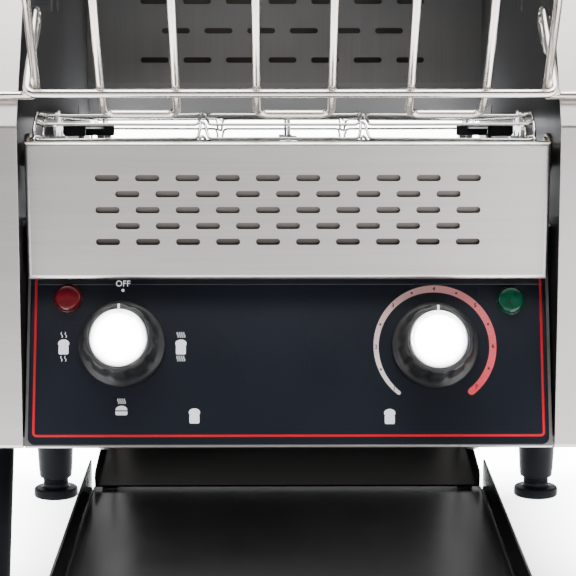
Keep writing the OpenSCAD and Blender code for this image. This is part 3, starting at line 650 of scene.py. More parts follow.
def strip(profile, t, x0, x1, b=0.2, side=1):
    """Sheet that follows an open (Y, Z) line, t thick to one side, drawn out from x0 to x1. Local frame SIDE."""
    n = len(profile)
    inner = []
    for i in range(n):
        p = Vector(profile[i])
        a = (p - Vector(profile[i - 1])) if i else (Vector(profile[1]) - p)
        c = (Vector(profile[i + 1]) - p) if i < n - 1 else (p - Vector(profile[i - 1]))
        a.normalize(), c.normalize()
        na, nb = Vector((-a.y, a.x)), Vector((-c.y, c.x))
        m = (na + nb).normalized()
        inner.append(tuple(p + m * side * t / max(0.4, m.dot(na))))
    loop = list(profile) + inner[::-1]
    v, f = plate(loop, t=x1 - x0, b=b, z=x1)
    return v, f


def hexagon(cx, cy, af, a0=0):
    return circle2(cx, cy, af / 2 / math.cos(math.pi / 6), 6, a0)


def pan_head(r=3.6, h=1.7, cross=True):
    """A domed screw head with a pressed cross recess, standing on local z = 0."""
    seg = 32
    rings = [(r, 0), (r, 0.25), (r * 0.97, 0.55), (r * 0.88, 0.95), (r * 0.72, 1.3), (r * 0.52, 1.55), (r * 0.3, h - 0.04), (0.16 * r, h)]
    verts, faces = [], []
    for ri, (rr, z) in enumerate(rings):
        for k in range(seg):
            a = 2 * math.pi * k / seg
            x, y = rr * math.cos(a), rr * math.sin(a)
            zz = z
            if cross:
                d = min(abs(x), abs(y))
                e = max(abs(x), abs(y))
                if e < r * 0.6 and ri >= 4:
                    w = max(0.0, 1 - d / (0.14 * r + 0.12))
                    zz = z - 0.75 * min(1, w * 1.6) * (1 - (e / (r * 0.6)) ** 3)
            verts.append((x, y, zz))
    for a in range(len(rings) - 1):
        for k in range(seg):
            j = (k + 1) % seg
            faces.append((a * seg + k, a * seg + j, (a + 1) * seg + j, (a + 1) * seg + k))
    verts.append((0, 0, h - (0.8 if cross else 0)))
    c = len(verts) - 1
    last = (len(rings) - 1) * seg
    faces += [(last + k, last + (k + 1) % seg, c) for k in range(seg)]
    faces.append(tuple(range(seg))[::-1])
    return verts, faces


def axis_frame(o, n):
    """A local frame at o (drawing mm) whose z points along n."""
    n = Vector(n).normalized()
    up = Vector((0, 0, 1)) if abs(n.z) < 0.9 else Vector((0, 1, 0))
    x = up.cross(n).normalized()
    y = n.cross(x)
    return frame_at(o, x, y, n)


# ------------------------------------------------------------------ casing
TUN, XL, XR = 125.0, -177.0, 191.0
TOP, ZB, ZBEND, YB = 385.0, 102.0, 253.0, 340.0
SLOPE = 28.88
TS = math.tan(math.radians(SLOPE))
YT = (TOP - ZBEND) * TS


def prof(d=0.0):
    t2 = math.tan(math.radians(SLOPE / 2))
    t45 = math.tan(math.radians(45 - SLOPE / 2))
    return [(d, ZB + d), (d, ZBEND - d * t2), (YT + d * t45, TOP - d), (YB - d, TOP - d), (YB - d, ZB + d)]


def box_cover(name, x_out, x_in, side, screws):
    """Bent shell of one side box: outline swept across, rolled over at the outer face, louvre slots cut through."""
    outer = ccw(fillet(prof(0), [2.0, 3.0, 3.0, 2.5, 2.0], 5), True)
    r = 1.9
    rings = [(x_in, 0.12), (x_in + side * 0.12, 0.0)]
    n = 6
    for k in range(n + 1):
        a = math.pi / 2 * k / n
        rings.append((x_out - side * r * (1 - math.sin(a)), r * (1 - math.cos(a))))
    # the sheet's inner surface, 1 mm inside the outer one
    ri = r - 1.0
    inner_rings = []
    for k in range(n + 1):
        a = math.pi / 2 * (n - k) / n
        inner_rings.append((x_out - side * (1.0 + ri * (1 - math.sin(a))), 1.0 + ri * (1 - math.cos(a))))
    inner_rings.append((x_in + side * 0.12, 1.0))
    inner_rings.append((x_in, 0.88))
    verts, faces = [], []
    m = len(outer)
    allr = rings + inner_rings
    rows = []
    for x, d in allr:
        rows.append(len(verts))
        verts += [(x, p[0], p[1]) for p in (offset(outer, d) if d > 1e-9 else outer)]
    # outer skin, then inner skin; caps with slots between
    oc = len(rings) - 1
    ic = oc + 1
    for a in list(range(0, oc)) + list(range(ic, len(allr) - 1)):
        for i in range(m):
            j = (i + 1) % m
            faces.append((rows[a] + i, rows[a] + j, rows[a + 1] + j, rows[a + 1] + i))
    for i in range(m):
        j = (i + 1) % m
        faces.append((rows[-1] + i, rows[-1] + j, rows[0] + j, rows[0] + i))
    holes = [ccw(oblong(150, 120 + 20 * j, 44, 5), False) for j in range(8)]
    hole_rows = []
    for h in holes:
        lo = []
        for x, o in ((x_out, 0.18), (x_out - side * 0.18, 0.0), (x_out - side * 0.82, 0.0), (x_out - side * 1.0, 0.18)):
            lo.append(len(verts))
            verts += [(x, p[0], p[1]) for p in (offset(h, o) if o else h)]
        for a in range(3):
            for i in range(len(h)):
                j = (i + 1) % len(h)
                faces.append((lo[a] + i, lo[a] + j, lo[a + 1] + j, lo[a + 1] + i))
        hole_rows.append((lo[0], lo[3], len(h)))
    for row, which in ((rows[oc], 0), (rows[ic], 1)):
        loops = [[Vector((verts[row + i][1], verts[row + i][2], 0)) for i in range(m)]]
        idx = list(range(row, row + m))
        for h in hole_rows:
            s = h[which]
            loops.append([Vector((verts[s + i][1], verts[s + i][2], 0)) for i in range(h[2])])
            idx += list(range(s, s + h[2]))
        faces += [tuple(idx[i] for i in t3) for t3 in tessellate_polygon(loops)]
    b = Build()
    b.add(verts, faces, WORLD)
    return b.done(name, MAT["stainless"], slot="stainless", replaces=(name,)).name


UP_Y = [145, 172, 231, 258]
UP_Z = 325
LO_Y = [80, 127, 174, 221]
FA = Vector((38.0, 238.6))
FALL = math.radians(3.4)
BR = 18.0
PITCH = math.pi * 2 * BR / 12
RUN = 26 * PITCH
BT = Vector((math.cos(FALL), -math.sin(FALL)))
BN = Vector((math.sin(FALL), math.cos(FALL)))
RA = FA + BT * RUN
HOOK = (43.0, 301.5)


def belt_mid(y):
    return FA.y - (y - FA.x) * math.tan(FALL)


SLA = 9.0
SL0 = (99.0, 58.2)
SL1 = (200.0, SL0[1] + 101 * math.tan(math.radians(SLA)))
SLR = 160.0
SLC = (SL1[0] - SLR * math.sin(math.radians(SLA)), SL1[1] + SLR * math.cos(math.radians(SLA)))
SLW = 101.4


def slide_pt(d, a):
    c, s = cs(a)
    return (SLC[0] + (SLR - d) * s, SLC[1] - (SLR - d) * c)


STUDS = [slide_pt(4.7, 50), slide_pt(4.7, 72), (215.0, 119.0)]


def inner_wall(name, side):
    outline = ccw(fillet(prof(0.25), [2.0, 3.0, 3.0, 2.5, 2.0], 4), True)
    holes = [circle2(p[0], p[1], 7.55, 28) for p in (FA, RA)]
    holes += [circle2(y, UP_Z, 7.1, 28) for y in UP_Y[2:]]
    # the two front heaters' holes run on into their adjusting slots
    for y in UP_Y[:2]:
        pts = [(y - 3, 318.57), (y - 3, 306), (y + 3, 306), (y + 3, 318.57)]
        pts += [(y + 7.1 * math.cos(math.radians(-64.9 + k * 309.8 / 22)), UP_Z + 7.1 * math.sin(math.radians(-64.9 + k * 309.8 / 22))) for k in range(1, 22)]
        holes.append(pts)
    holes += [circle2(y, belt_mid(y) - 2, 7.1, 28) for y in LO_Y]
    holes += [circle2(p[0], p[1], 2.1, 14) for p in STUDS] + [circle2(HOOK[0], HOOK[1], 2.05, 14)]
    key = [(272.2, 250.0), (272.2, 247.9)] + [(274 + 2.6 * math.cos(math.radians(133 + k * 274 / 14)), 246 + 2.6 * math.sin(math.radians(133 + k * 274 / 14))) for k in range(15)] + [(275.8, 247.9), (275.8, 250.0)]
    holes.append(key)
    v, f = plate(outline, holes, 1.0, 0.15, z=(-TUN if side < 0 else TUN + 1.0))
    b = Build()
    b.add(v, f, SIDE)
    return b.done(name, MAT["inner"], slot="inner_steel", replaces=(name,))


box_cover("left_side_cover", XL, -TUN, -1, None)
box_cover("right_side_cover", XR, TUN, 1, None)
inner_wall("left_inner_wall", -1)
inner_wall("right_inner_wall", 1)


def bent_outline(pts, radii, t, side, seg=5):
    """Closed outline of a bent sheet from its centre-side line: outer line rounded, inner line parallel."""
    line = fillet(pts, radii, seg, closed=False)
    n = len(line)
    inner = []
    for i in range(n):
        p = Vector(line[i])
        a = (p - Vector(line[i - 1])) if i else (Vector(line[1]) - p)
        c = (Vector(line[i + 1]) - p) if i < n - 1 else (p - Vector(line[i - 1]))
        a.normalize(), c.normalize()
        m = (Vector((-a.y, a.x)) + Vector((-c.y, c.x))).normalized()
        inner.append(tuple(p + m * side * t / max(0.5, m.dot(Vector((-a.y, a.x))))))
    return list(line) + inner[::-1]


def bent_sheet(b, pts, radii, t, side, x0, x1, bev=0.15):
    v, f = plate(bent_outline(pts, radii, t, side), t=x1 - x0, b=bev, z=x1)
    b.add(v, f, SIDE)


# ---- top cover: hood with a sloped front, turned lips, flanges into the boxes, and two rows of vents
def top_cover():
    xi = TUN - 0.6
    lip_z = 333
    lip_y = (lip_z - ZBEND) * TS
    b = Build()
    # flat top with vents, made as a plate, joined by the rolled front and rear strips
    yf = YT + 6
    holes = [oblong(-90 + i * 45, 110 + j * 36, 30, 4) for i in range(5) for j in range(6)]
    top = frame_at((0, 0, 0), (1, 0, 0), (0, 1, 0), (0, 0, 1))
    v, f = plate([(-xi, yf), (xi, yf), (xi, YB - 5), (-xi, YB - 5)], holes, 1.0, 0.12, z=TOP)
    b.add(v, f, top)
    bent_sheet(b, [(yf + 0.3, TOP), (YT, TOP), (lip_y, lip_z), (lip_y + 9, lip_z)], [0, 3.0, 1.6, 0], 1.0, 1, -xi, xi)
    bent_sheet(b, [(YB - 5.3, TOP), (YB, TOP), (YB, TOP - 14)], [0, 2.4, 0], 1.0, -1, -xi, xi)
    for s in (-1, 1):
        loop = [(YT - 9.2, TOP - 16), (YT - 1.2, TOP - 1.2), (YB - 1.5, TOP - 1.2), (YB - 1.5, TOP - 16)]
        v, f = plate(fillet(loop, 1.5, 3), t=1.0, b=0.12, z=(-xi + 1.0 if s < 0 else xi))
        b.add(v, f, SIDE)
    return b.done("top_cover", MAT["stainless"], slot="stainless", replaces=("top_cover",))


top_cover()


# ---- rear wall: perforated sheet with a flared lower edge
def rear_panel():
    xi = TUN - 0.02
    b = Build()
    holes = []
    for j in range(5):
        n = 7 if j % 2 == 0 else 6
        holes += [oblong((i - (n - 1) / 2) * 27 - 1.4, 276.1 + j * 18.4, 17.7, 3.4) for i in range(n)]
    back = frame_at((0, 332, 0), (1, 0, 0), (0, 0, 1), (0, -1, 0))
    v, f = plate([(-xi, 261.6), (xi, 261.6), (xi, TOP - 19.6), (-xi, TOP - 19.6)], holes, 1.0, 0.12, z=0)
    b.add(v, f, back)
    bent_sheet(b, [(332, 262), (332, 258.5), (338.6, 238.2)], [0, 4, 0], 1.0, 1, -xi, xi)
    bent_sheet(b, [(332, TOP - 20), (332, TOP - 16), (339, TOP - 16)], [0, 2.2, 0], 1.0, -1, -xi, xi)
    return b.done("rear_panel", MAT["rear"], slot="inner_steel", replaces=("rear_panel",))


rear_panel()


def rear_cover():
    """Outer back sheet with louvre slots between the rows of the wall in front of it."""
    xi = TUN - 1.8
    b = Build()
    holes = [oblong((i - 2) * 45, 285.3 + 18.4 * j, 30, 4) for i in range(5) for j in range(4)] + [circle2(s * 90, 268, 1.6, 16) for s in (-1, 1)]
    back = frame_at((0, YB, 0), (-1, 0, 0), (0, 0, 1), (0, 1, 0))
    v, f = plate([(-xi, 264.6), (xi, 264.6), (xi, TOP - 14.2), (-xi, TOP - 14.2)], holes, 1.0, 0.15, z=0)
    b.add(v, f, back)
    # the sheet's inner side takes a much darker copy of the sheet steel
    inside = [int(all(b.v[i].y < YB - 0.9 for i in face)) for face in b.f]
    bent_sheet(b, [(YB, 265), (YB, 262), (333, 262), (333, 272)], [0, 2.2, 1.6, 0], 1.0, -1, -xi, xi)
    inside += [0] * (len(b.f) - len(inside))
    return b.done("rear_cover", None, slot="stainless", replaces=("rear_cover",), mats=(MAT["stainless"], MAT["stained"]), face_mats=inside)


rear_cover()


def rear_crossbar():
    b = Build()
    bent_sheet(b, [(330, 105), (339, 105), (339, 126), (330, 126)], [0, 2, 2, 0], 1.0, 1, -TUN + 0.2, TUN - 0.2)
    return b.done("rear_crossbar", MAT["plated"], slot="plated_steel", replaces=("rear_crossbar",))


rear_crossbar()


# ---- front cover: slotted sheet with rolled edges
def front_cover():
    b = Build()
    x0, x1, y0, h = -123.4, 122.4, -1.4, 63.7
    holes = []
    for j in range(5):
        n = 10 if j % 2 == 0 else 9
        holes += [oblong((i - (n - 1) / 2) * 18.8 - 0.4, 16.7 + j * 7.55, 11.4, 3.0, 9) for i in range(n)]
    e = 2.2
    o = e + 0.1
    # face, its outline lies under the rim's flat strip
    v, f = plate([(x0 + o, y0 + o), (x1 - o, y0 + o), (x1 - o, h - o), (x0 + o, h - o)], holes, 0.996, 0.03, z=-0.004)
    b.add(v, f, COVER)
    # rolled rim: a quarter round all the way round, then flanges straight back
    line = [(e + 0.5, 0.0), (e, 0.0)]
    for k in range(1, 8):
        a = math.pi / 2 * k / 7
        line.append((e - e * math.sin(a), -e * (1 - math.cos(a))))
    line += [(0.0, -4.6), (1.0, -4.6), (1.0, -2.4), (1.4, -1.5), (e, -1.0)]
    rows, verts, faces = [], [], []
    for q, w in line:
        rows.append(len(verts))
        verts += [(x0 + q, y0 + q, w), (x1 - q, y0 + q, w), (x1 - q, h - q, w), (x0 + q, h - q, w)]
    for a in range(len(line) - 1):
        for i in range(4):
            j = (i + 1) % 4
            faces.append((rows[a] + i, rows[a] + j, rows[a + 1] + j, rows[a + 1] + i))
    for i in range(4):
        j = (i + 1) % 4
        faces.append((rows[-1] + i, rows[-1] + j, rows[0] + j, rows[0] + i))
    # kind 3, the rolled quarter round, takes the paler rim steel: a painted highlight
    kinds = [0] * len(b.f) + [1 if k % 4 == 0 and 8 <= k // 4 <= 10 else 3 if 1 <= k // 4 <= 7 else 0 for k in range(len(faces))]
    b.add(verts, faces, COVER)
    # deeper returns at the sides and the bottom
    for lo, hi in (((x0, y0 + 1.2), (x0 + 1.0, h - 1.2)), ((x1 - 1.0, y0 + 1.2), (x1, h - 1.2))):
        v, f = plate([(lo[0], lo[1]), (hi[0], lo[1]), (hi[0], hi[1]), (lo[0], hi[1])], (), 4.6, 0.12, z=-4.4)
        b.add(v, f, COVER)
    kinds += [0] * (len(b.f) - len(kinds))
    # the bottom return, like the bottom flange faces (kind 1), takes the much darker sheet
    v, f = plate([(x0 + 1.2, y0), (x1 - 1.2, y0), (x1 - 1.2, y0 + 1), (x0 + 1.2, y0 + 1)], (), 4.6, 0.12, z=-4.4)
    b.add(v, f, COVER)
    kinds += [1] * (len(b.f) - len(kinds))
    # baffle behind the slots
    v, f = plate([(x0 + 0.6, 11), (x1 - 0.6, 11), (x1 - 0.6, 52.5), (x0 + 0.6, 52.5)], (), 0.8, 0.1, z=-3)
    b.add(v, f, COVER)
    kinds += [2] * (len(b.f) - len(kinds))
    return b.done("front_cover", None, slot="stainless", replaces=("front_cover",), mats=(MAT["stainless"], MAT["stained"], MAT["baffle"], MAT["rim"]), face_mats=kinds)


front_cover()

# ---- control panel, its printed sheet and the graphics
SEL, SPD = (-79.1, 47.4), (69.3, 46.6)
LAMPL, LAMPR = (-105.0, 69.5), (105.7, 68.2)


def control_panel():
    b = Build()
    holes = [circle2(p[0], p[1], 5, 24) for p in (SEL, SPD)] + [circle2(p[0], p[1], 5.3, 24) for p in (LAMPL, LAMPR)]
    v, f = plate([(-124.3, 0.4), (124.1, 0.4), (124.1, 89), (-124.3, 89)], holes, 1.0, 0.2, z=0)
    b.add(v, f, PANEL)
    a = (0.7 + 0.6 * S18, 104 + 0.6 * C18)
    bent_sheet(b, [a, (0.1, 102.1), (14, 102.1)], [0, 1.3, 0], 1.0, 1, -124.3, 124.1, 0.25)
    return b.done("control_panel", MAT["stainless"], slot="stainless", replaces=("control_panel",))


control_panel()


def panel_overlay():
    b = Build()
    holes = [circle2(p[0], p[1], 5.0, 32) for p in (SEL, SPD)] + [circle2(p[0], p[1], 5.3, 32) for p in (LAMPL, LAMPR)]
    outline = fillet([(-122.9, -0.3), (122.6, -0.3), (122.6, 88), (-122.9, 88)], [3.5, 3.5, 0, 0], 8)
    v, f = plate(outline, holes, 0.4, 0.12, z=0.4)
    b.add(v, f, PANEL)
    return b.done("panel_overlay", MAT["overlay"], slot="overlay", replaces=("panel_overlay",))


panel_overlay()
INKW = 0.4 + 0.05      # the print's face, mm above the panel


def ink_plate(b, outline, holes=(), m=PANEL, z=INKW, t=0.045):
    v, f = plate(outline, holes, t, 0.012, 1, z=z)
    b.add(v, f, m)


def ink_stroke(b, pts, w, closed=False):
    """A printed line of width w along a path."""
    n = len(pts)
    left, right = [], []
    for i in range(n):
        p = Vector(pts[i])
        a = (Vector(pts[i]) - Vector(pts[i - 1])) if (i or closed) else (Vector(pts[1]) - p)
        c = (Vector(pts[(i + 1) % n]) - p) if (i < n - 1 or closed) else (p - Vector(pts[i - 1]))
        a.normalize(), c.normalize()
        m = (Vector((-a.y, a.x)) + Vector((-c.y, c.x))).normalized()
        k = w / 2 / max(0.5, m.dot(Vector((-a.y, a.x))))
        left.append(tuple(p + m * k))
        right.append(tuple(p - m * k))
    ink_plate(b, left + right[::-1])


def red_border():
    b = Build()
    path = fillet([(-120.3, 86.5), (-120.3, 3.9), (120.1, 3.9), (120.1, 86.5)], [0, 1.6, 1.6, 0], 6, closed=False)
    ink_stroke(b, path, 1.15)
    return b.done("border_line", MAT["ink_red"], slot="overlay")


red_border()


def text_mesh(name, body, size, centre, rot=0.0, mat=None, bold=0.0, sx=1.0):
    cu = bpy.data.curves.new(name, "FONT")
    cu.body = body
    cu.size = size
    cu.align_x, cu.align_y = "CENTER", "CENTER"
    cu.extrude = 0.02
    cu.offset = bold
    cu.resolution_u = 3
    tmp = bpy.data.objects.new(name + "_tmp", cu)
    scene.collection.objects.link(tmp)
    bpy.context.view_layer.update()
    dg = bpy.context.evaluated_depsgraph_get()
    me = bpy.data.meshes.new_from_object(tmp.evaluated_get(dg))
    bpy.data.objects.remove(tmp)
    loc = Matrix.Translation((centre[0], centre[1], INKW - 0.01)) @ Matrix.Rotation(rot, 4, "Z") @ Matrix.Diagonal((sx, 1, 1, 1))
    me.transform(PANEL @ loc)
    me.materials.clear()
    me.materials.append(mat or MAT["ink_white"])
    o = bpy.data.objects.new(name, me)
    scene.collection.objects.link(o)
    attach(o, "frame")
    return o


text_mesh("off_mark", "OFF", 4.1, (-79.0, 76.5), bold=0.03, sx=0.98)


def slice_icon(b, cx, cy, w=5.35, h=7.1):
    """A plain slice of bread: domed top, a small nick each side, straight body."""
    top = cy + h / 2
    ec, eh = top - 0.27 * h, 0.27 * h
    pts = [(cx - 0.36 * w, cy - h / 2), (cx + 0.36 * w, cy - h / 2), (cx + 0.44 * w, cy - h / 2 + 0.5), (cx + 0.44 * w, top - 0.5 * h), (cx + 0.40 * w, top - 0.42 * h)]
    for k in range(25):
        a = math.radians(-24 + 228 * k / 24)
        pts.append((cx + 0.5 * w * math.cos(a), ec + eh * math.sin(a)))
    pts += [(cx - 0.40 * w, top - 0.42 * h), (cx - 0.44 * w, top - 0.5 * h), (cx - 0.44 * w, cy - h / 2 + 0.5)]
    ink_plate(b, pts)


def waves(b, cx, cy, n, gap=1.25, h=2.6):
    for i in range(n):
        x = cx + (i - (n - 1) / 2) * gap
        pts = [(x + 0.38 * math.sin(2 * math.pi * k / 12), cy - h / 2 + h * k / 12) for k in range(13)]
        ink_stroke(b, pts, 0.28)


def graphics():
    b = Build()
    slice_icon(b, -106.8, 46.2)
    slice_icon(b, -51.2, 46.1)
    for cx, n, gap in ((-106.8, 2, 1.9), (-51.2, 4, 1.03)):
        waves(b, cx, 51.9, n, gap)
        waves(b, cx, 40.6, n, gap)
    slice_icon(b, -44.6, 13.3)
    slice_icon(b, 47.5, 12.9)
    # split bun
    cx, cy = -79.0, 15.7
    top = [(cx + 2.8 * math.cos(math.radians(a)), cy + 0.35 + 2.1 * math.sin(math.radians(a))) for a in range(0, 181, 12)]
    ink_plate(b, top)
    low = [(cx - 2.8, cy - 0.25), (cx - 2.8, cy - 1.0)] + [(cx - 2.0 + 0.8 * math.cos(math.radians(a)), cy - 1.2 + 0.8 * math.sin(math.radians(a))) for a in range(190, 271, 20)] + \
        [(cx + 2.0 + 0.8 * math.cos(math.radians(a)), cy - 1.2 + 0.8 * math.sin(math.radians(a))) for a in range(270, 351, 20)] + [(cx + 2.8, cy - 1.0), (cx + 2.8, cy - 0.25)]
    ink_plate(b, low)
    waves(b, cx, 20.3, 4, 1.0, 2.4)
    ink_plate(b, circle2(-79.0, 73.4, 0.7, 16))
    return b.done("panel_symbols", MAT["ink_white"], slot="overlay")


graphics()


def dial_scale():
    """Tapered scale round the speed knob, pale at the slow end and red at the other."""
    cx, cy = 69.4, 46.4
    a0, a1 = 232.0, -52.0
    steps = 96
    verts, faces, rows = [], [], []

    def ring(t):
        a = math.radians(a0 + (a1 - a0) * t)
        w = 1.8 + 1.6 * min(1.0, t / 0.5)
        return a, 29.2 - w, 29.2

    pts_o, pts_i = [], []
    for k in range(steps + 1):
        a, r0, r1 = ring(k / steps)
        pts_o.append((cx + r1 * math.cos(a), cy + r1 * math.sin(a)))
        pts_i.append((cx + r0 * math.cos(a), cy + r0 * math.sin(a)))
    cap_e = []
    for t, sgn in ((1.0, -1), (0.0, 1)):
        a, r0, r1 = ring(t)
        c = (cx + (r0 + r1) / 2 * math.cos(a), cy + (r0 + r1) / 2 * math.sin(a))
        h = (r1 - r0) / 2
        arc = []
        for k in range(1, 8):
            q = a + sgn * math.pi * k / 8
            if t == 1.0:
                arc.append((c[0] + h * math.cos(q), c[1] + h * math.sin(q)))
            else:
                q = a + math.pi - math.pi * k / 8
                arc.append((c[0] + h * math.cos(q), c[1] + h * math.sin(q)))
        cap_e.append(arc)
    outline = pts_o + cap_e[0] + pts_i[::-1] + cap_e[1]
    b = Build()
    ink_plate(b, outline)
    m, nt, bs = new_mat("dial_scale_ink")
    tc = node(nt, "ShaderNodeTexCoord")
    c = PANEL @ Vector((cx, cy, 0))
    sub = node(nt, "ShaderNodeVectorMath", operation="SUBTRACT")
    sub.inputs[1].default_value = c
    nt.links.new(tc.outputs["Object"], sub.inputs[0])
    sep = node(nt, "ShaderNodeSeparateXYZ")
    nt.links.new(sub.outputs["Vector"], sep.inputs[0])
    # turning angle measured from straight down, 0 at the left end and 1 at the right
    ang = math_(nt, "ARCTAN2", math_(nt, "MULTIPLY", sep.outputs["X"], -1.0), math_(nt, "MULTIPLY", sep.outputs["Z"], -1.0))
    full = math_(nt, "DIVIDE", math_(nt, "MODULO", math_(nt, "ADD", ang, 2 * math.pi), 2 * math.pi), 2 * math.pi)
    dots = noise(nt, coords(nt), 1800, 2, 0.5)
    col = ramp(nt, full, [(0.12, rgb("f2ece8")), (0.35, rgb("e6c2bc")), (0.5, rgb("d89a98")), (0.68, rgb("e0606a")), (0.86, rgb("e23c4c"))])
    col = mix(nt, span(nt, dots, 0, 0.25, 0.5, 0.7), col, (0.75, 0.5, 0.48))
    nt.links.new(col, bs.inputs["Base Color"])
    nt.links.new(span(nt, dots, 0.26, 0.36), bs.inputs["Roughness"])
    b.done("dial_scale", m, slot="overlay")
    # numbers 1 to 7 with a dot between each two
    d = Build()
    for i in range(7):
        a, r0, r1 = ring((a0 - 226 + 45.25 * i) / (a0 - a1))
        r = (r0 + r1) / 2
        text_mesh("dial_number_%d" % (i + 1), str(i + 1), 2.7, (cx + r * math.cos(a), cy + r * math.sin(a)), 0.0, MAT["ink_dark"], bold=0.07)
        if i < 6:
            a, r0, r1 = ring((a0 - 226 + 45.25 * (i + 0.5)) / (a0 - a1))
            r = (r0 + r1) / 2
            v, f = plate(circle2(cx + r * math.cos(a), cy + r * math.sin(a), 0.55, 14), (), 0.03, 0.008, 1, z=INKW + 0.02)
            d.add(v, f, PANEL)
    d.done("dial_dots", MAT["ink_dark"], slot="overlay")


dial_scale()


# ---- knobs
def knob(name, cap_name, p, body):
    seg, rows, verts, faces = 160, [], [], []
    lobes = 10
    # profile: radius, height, depth of the flutes at that height
    pr = [(17.6, 1.3, 0), (20.0, 1.2, 0), (20.45, 1.5, 0), (20.5, 2.0, 0), (20.5, 3.2, 0), (20.3, 3.8, 0), (19.7, 4.35, 0), (18.9, 4.8, 0.0),
          (18.0, 5.5, 0.25), (17.4, 6.6, 0.75), (17.05, 8.2, 1.1), (16.85, 14.0, 1.2), (16.65, 18.0, 1.2), (16.5, 20.2, 1.1), (16.3, 21.3, 0.9),
          (15.95, 22.0, 0.6), (15.4, 22.35, 0.25), (14.1, 22.45, 0), (13.75, 22.4, 0), (13.62, 22.15, 0), (13.6, 21.9, 0), (6.0, 21.9, 0)]
    for r, z, d in pr:
        rows.append(len(verts))
        for k in range(seg):
            a = 2 * math.pi * k / seg
            c = 0.5 - 0.5 * math.cos(lobes * (a + math.pi / lobes * 0))
            # wide lobes with narrower scallops between
            s = max(0.0, 1 - c * 1.9) ** 1.4
            rr = r - d * s
            verts.append((rr * math.cos(a + math.pi / 2 + math.pi / lobes), rr * math.sin(a + math.pi / 2 + math.pi / lobes), z))
    for a in range(len(pr) - 1):
        for k in range(seg):
            j = (k + 1) % seg
            faces.append((rows[a] + k, rows[a] + j, rows[a + 1] + j, rows[a + 1] + k))
    m = PANEL @ Matrix.Translation((p[0], p[1], 0))
    faces.append(tuple(range(rows[-1], rows[-1] + seg)))
    # underside with the recess over the fixing nut
    base = len(verts)
    under = [(17.6, 1.3), (17.3, 2.3), (9.6, 2.4), (9.2, 2.6), (9.0, 4.4), (3.1, 4.4)]
    rr_ = [rows[0]]
    for r, z in under[1:]:
        rr_.append(len(verts))
        verts += [(r * math.cos(2 * math.pi * k / seg), r * math.sin(2 * math.pi * k / seg), z) for k in range(seg)]
    # join the first row (turned by the lobe phase) to the underside rings
    shift = int(round(seg * (math.pi / 2 + math.pi / lobes) / (2 * math.pi)))
    for k in range(seg):
        j = (k + 1) % seg
        faces.append((rr_[0] + k, rr_[0] + j, rr_[1] + (j + shift) % seg, rr_[1] + (k + shift) % seg))
    for a in range(1, len(rr_) - 1):
        for k in range(seg):
            j = (k + 1) % seg
            faces.append((rr_[a] + k, rr_[a] + j, rr_[a + 1] + j, rr_[a + 1] + k))
    faces.append(tuple(range(rr_[-1], rr_[-1] + seg)))
    b = Build()
    b.add(verts, faces, m)
    b.done(name, MAT["knob"], body, slot="knob_black", replaces=(name,), smooth=60)
    c = Build()
    v, f = lathe(round_profile([(0, 21.85), (13.5, 21.85), (13.5, 22.75), (12.9, 22.98), (11.2, 22.86), (0, 22.9)], 0.25, 3), 96)
    c.add(v, f, m)
    cm = spun(cap_name + "_spun", m @ Vector((0, 0, 22.9)))
    c.done(cap_name, cm, body, slot="spun_aluminium", replaces=(cap_name,), smooth=30)
    # pointer line moulded into the grip and filled white
    t = Build()
    v, f = plate(fillet([(-0.5, 13.7), (0.5, 13.7), (0.5, 16.0), (-0.5, 16.0)], 0.15, 3), (), 0.9, 0.08, z=22.56)
    t.add(v, f, m)
    t.done(name + "_pointer", MAT["ink_white"], body, slot="knob_black")


knob("selector_knob", "selector_knob_cap", SEL, "selector")
knob("speed_knob", "speed_knob_cap", SPD, "speed")


# ---- pilot lamps
def lamp(name, p, mat, slot):
    b = Build()
    m = PANEL @ Matrix.Translation((p[0], p[1], 0))
    r = 6.25
    # lens: a low drum with a slightly domed face
    rings = [(r, 1.5), (r, 3.6), (r - 0.35, 4.3), (r - 1.0, 4.75)]
    seg = 48
    verts, faces, rows = [], [], []
    for rr, z in rings:
        rows.append(len(verts))
        verts += [(rr * math.cos(2 * math.pi * k / seg), rr * math.sin(2 * math.pi * k / seg), z) for k in range(seg)]
    for a in range(len(rings) - 1):
        for k in range(seg):
            j = (k + 1) % seg
            faces.append((rows[a] + k, rows[a] + j, rows[a + 1] + j, rows[a + 1] + k))
    inner = [(4.0, 4.9), (2.6, 4.98), (1.2, 5.0)]
    prev = rows[-1]
    for rr, z in inner:
        cur = len(verts)
        for k in range(seg):
            a = 2 * math.pi * k / seg
            verts.append((rr * math.cos(a), rr * math.sin(a), z))
        for k in range(seg):
            j = (k + 1) % seg
            faces.append((prev + k, prev + j, cur + j, cur + k))
        prev = cur
    verts.append((0, 0, 5.0))
    faces += [(prev + k, prev + (k + 1) % seg, len(verts) - 1) for k in range(seg)]
    faces.append(tuple(range(rows[0], rows[0] + seg)))
    b.add(verts, faces, m)
    v, f = lathe(round_profile([(0, 0.45), (6.85, 0.45), (6.85, 1.6), (0, 1.6)], 0.35, 4), 56)
    b.add(v, f, m)
    v, f = lathe(round_profile([(0, 0.6), (5.2, 0.6), (5.2, -22), (0, -22)], 0.3, 3), 32)
    b.add(v, f, m)
    b.done(name, mat, slot=slot, replaces=(name,), smooth=40)


lamp("red_lamp", LAMPL, MAT["red_lens"], "red_lens")
lamp("green_lamp", LAMPR, MAT["green_lens"], "green_lens")


def control_box():
    b = Build()
    bent_sheet(b, [(14.5, 104.2), (62, 104.2), (62, 205), (26, 205)], [0, 2, 2, 0], 1.0, 1, -TUN + 0.2, TUN - 0.2)
    b.done("control_box", MAT["plated"], slot="plated_steel", replaces=("control_box",))


control_box()


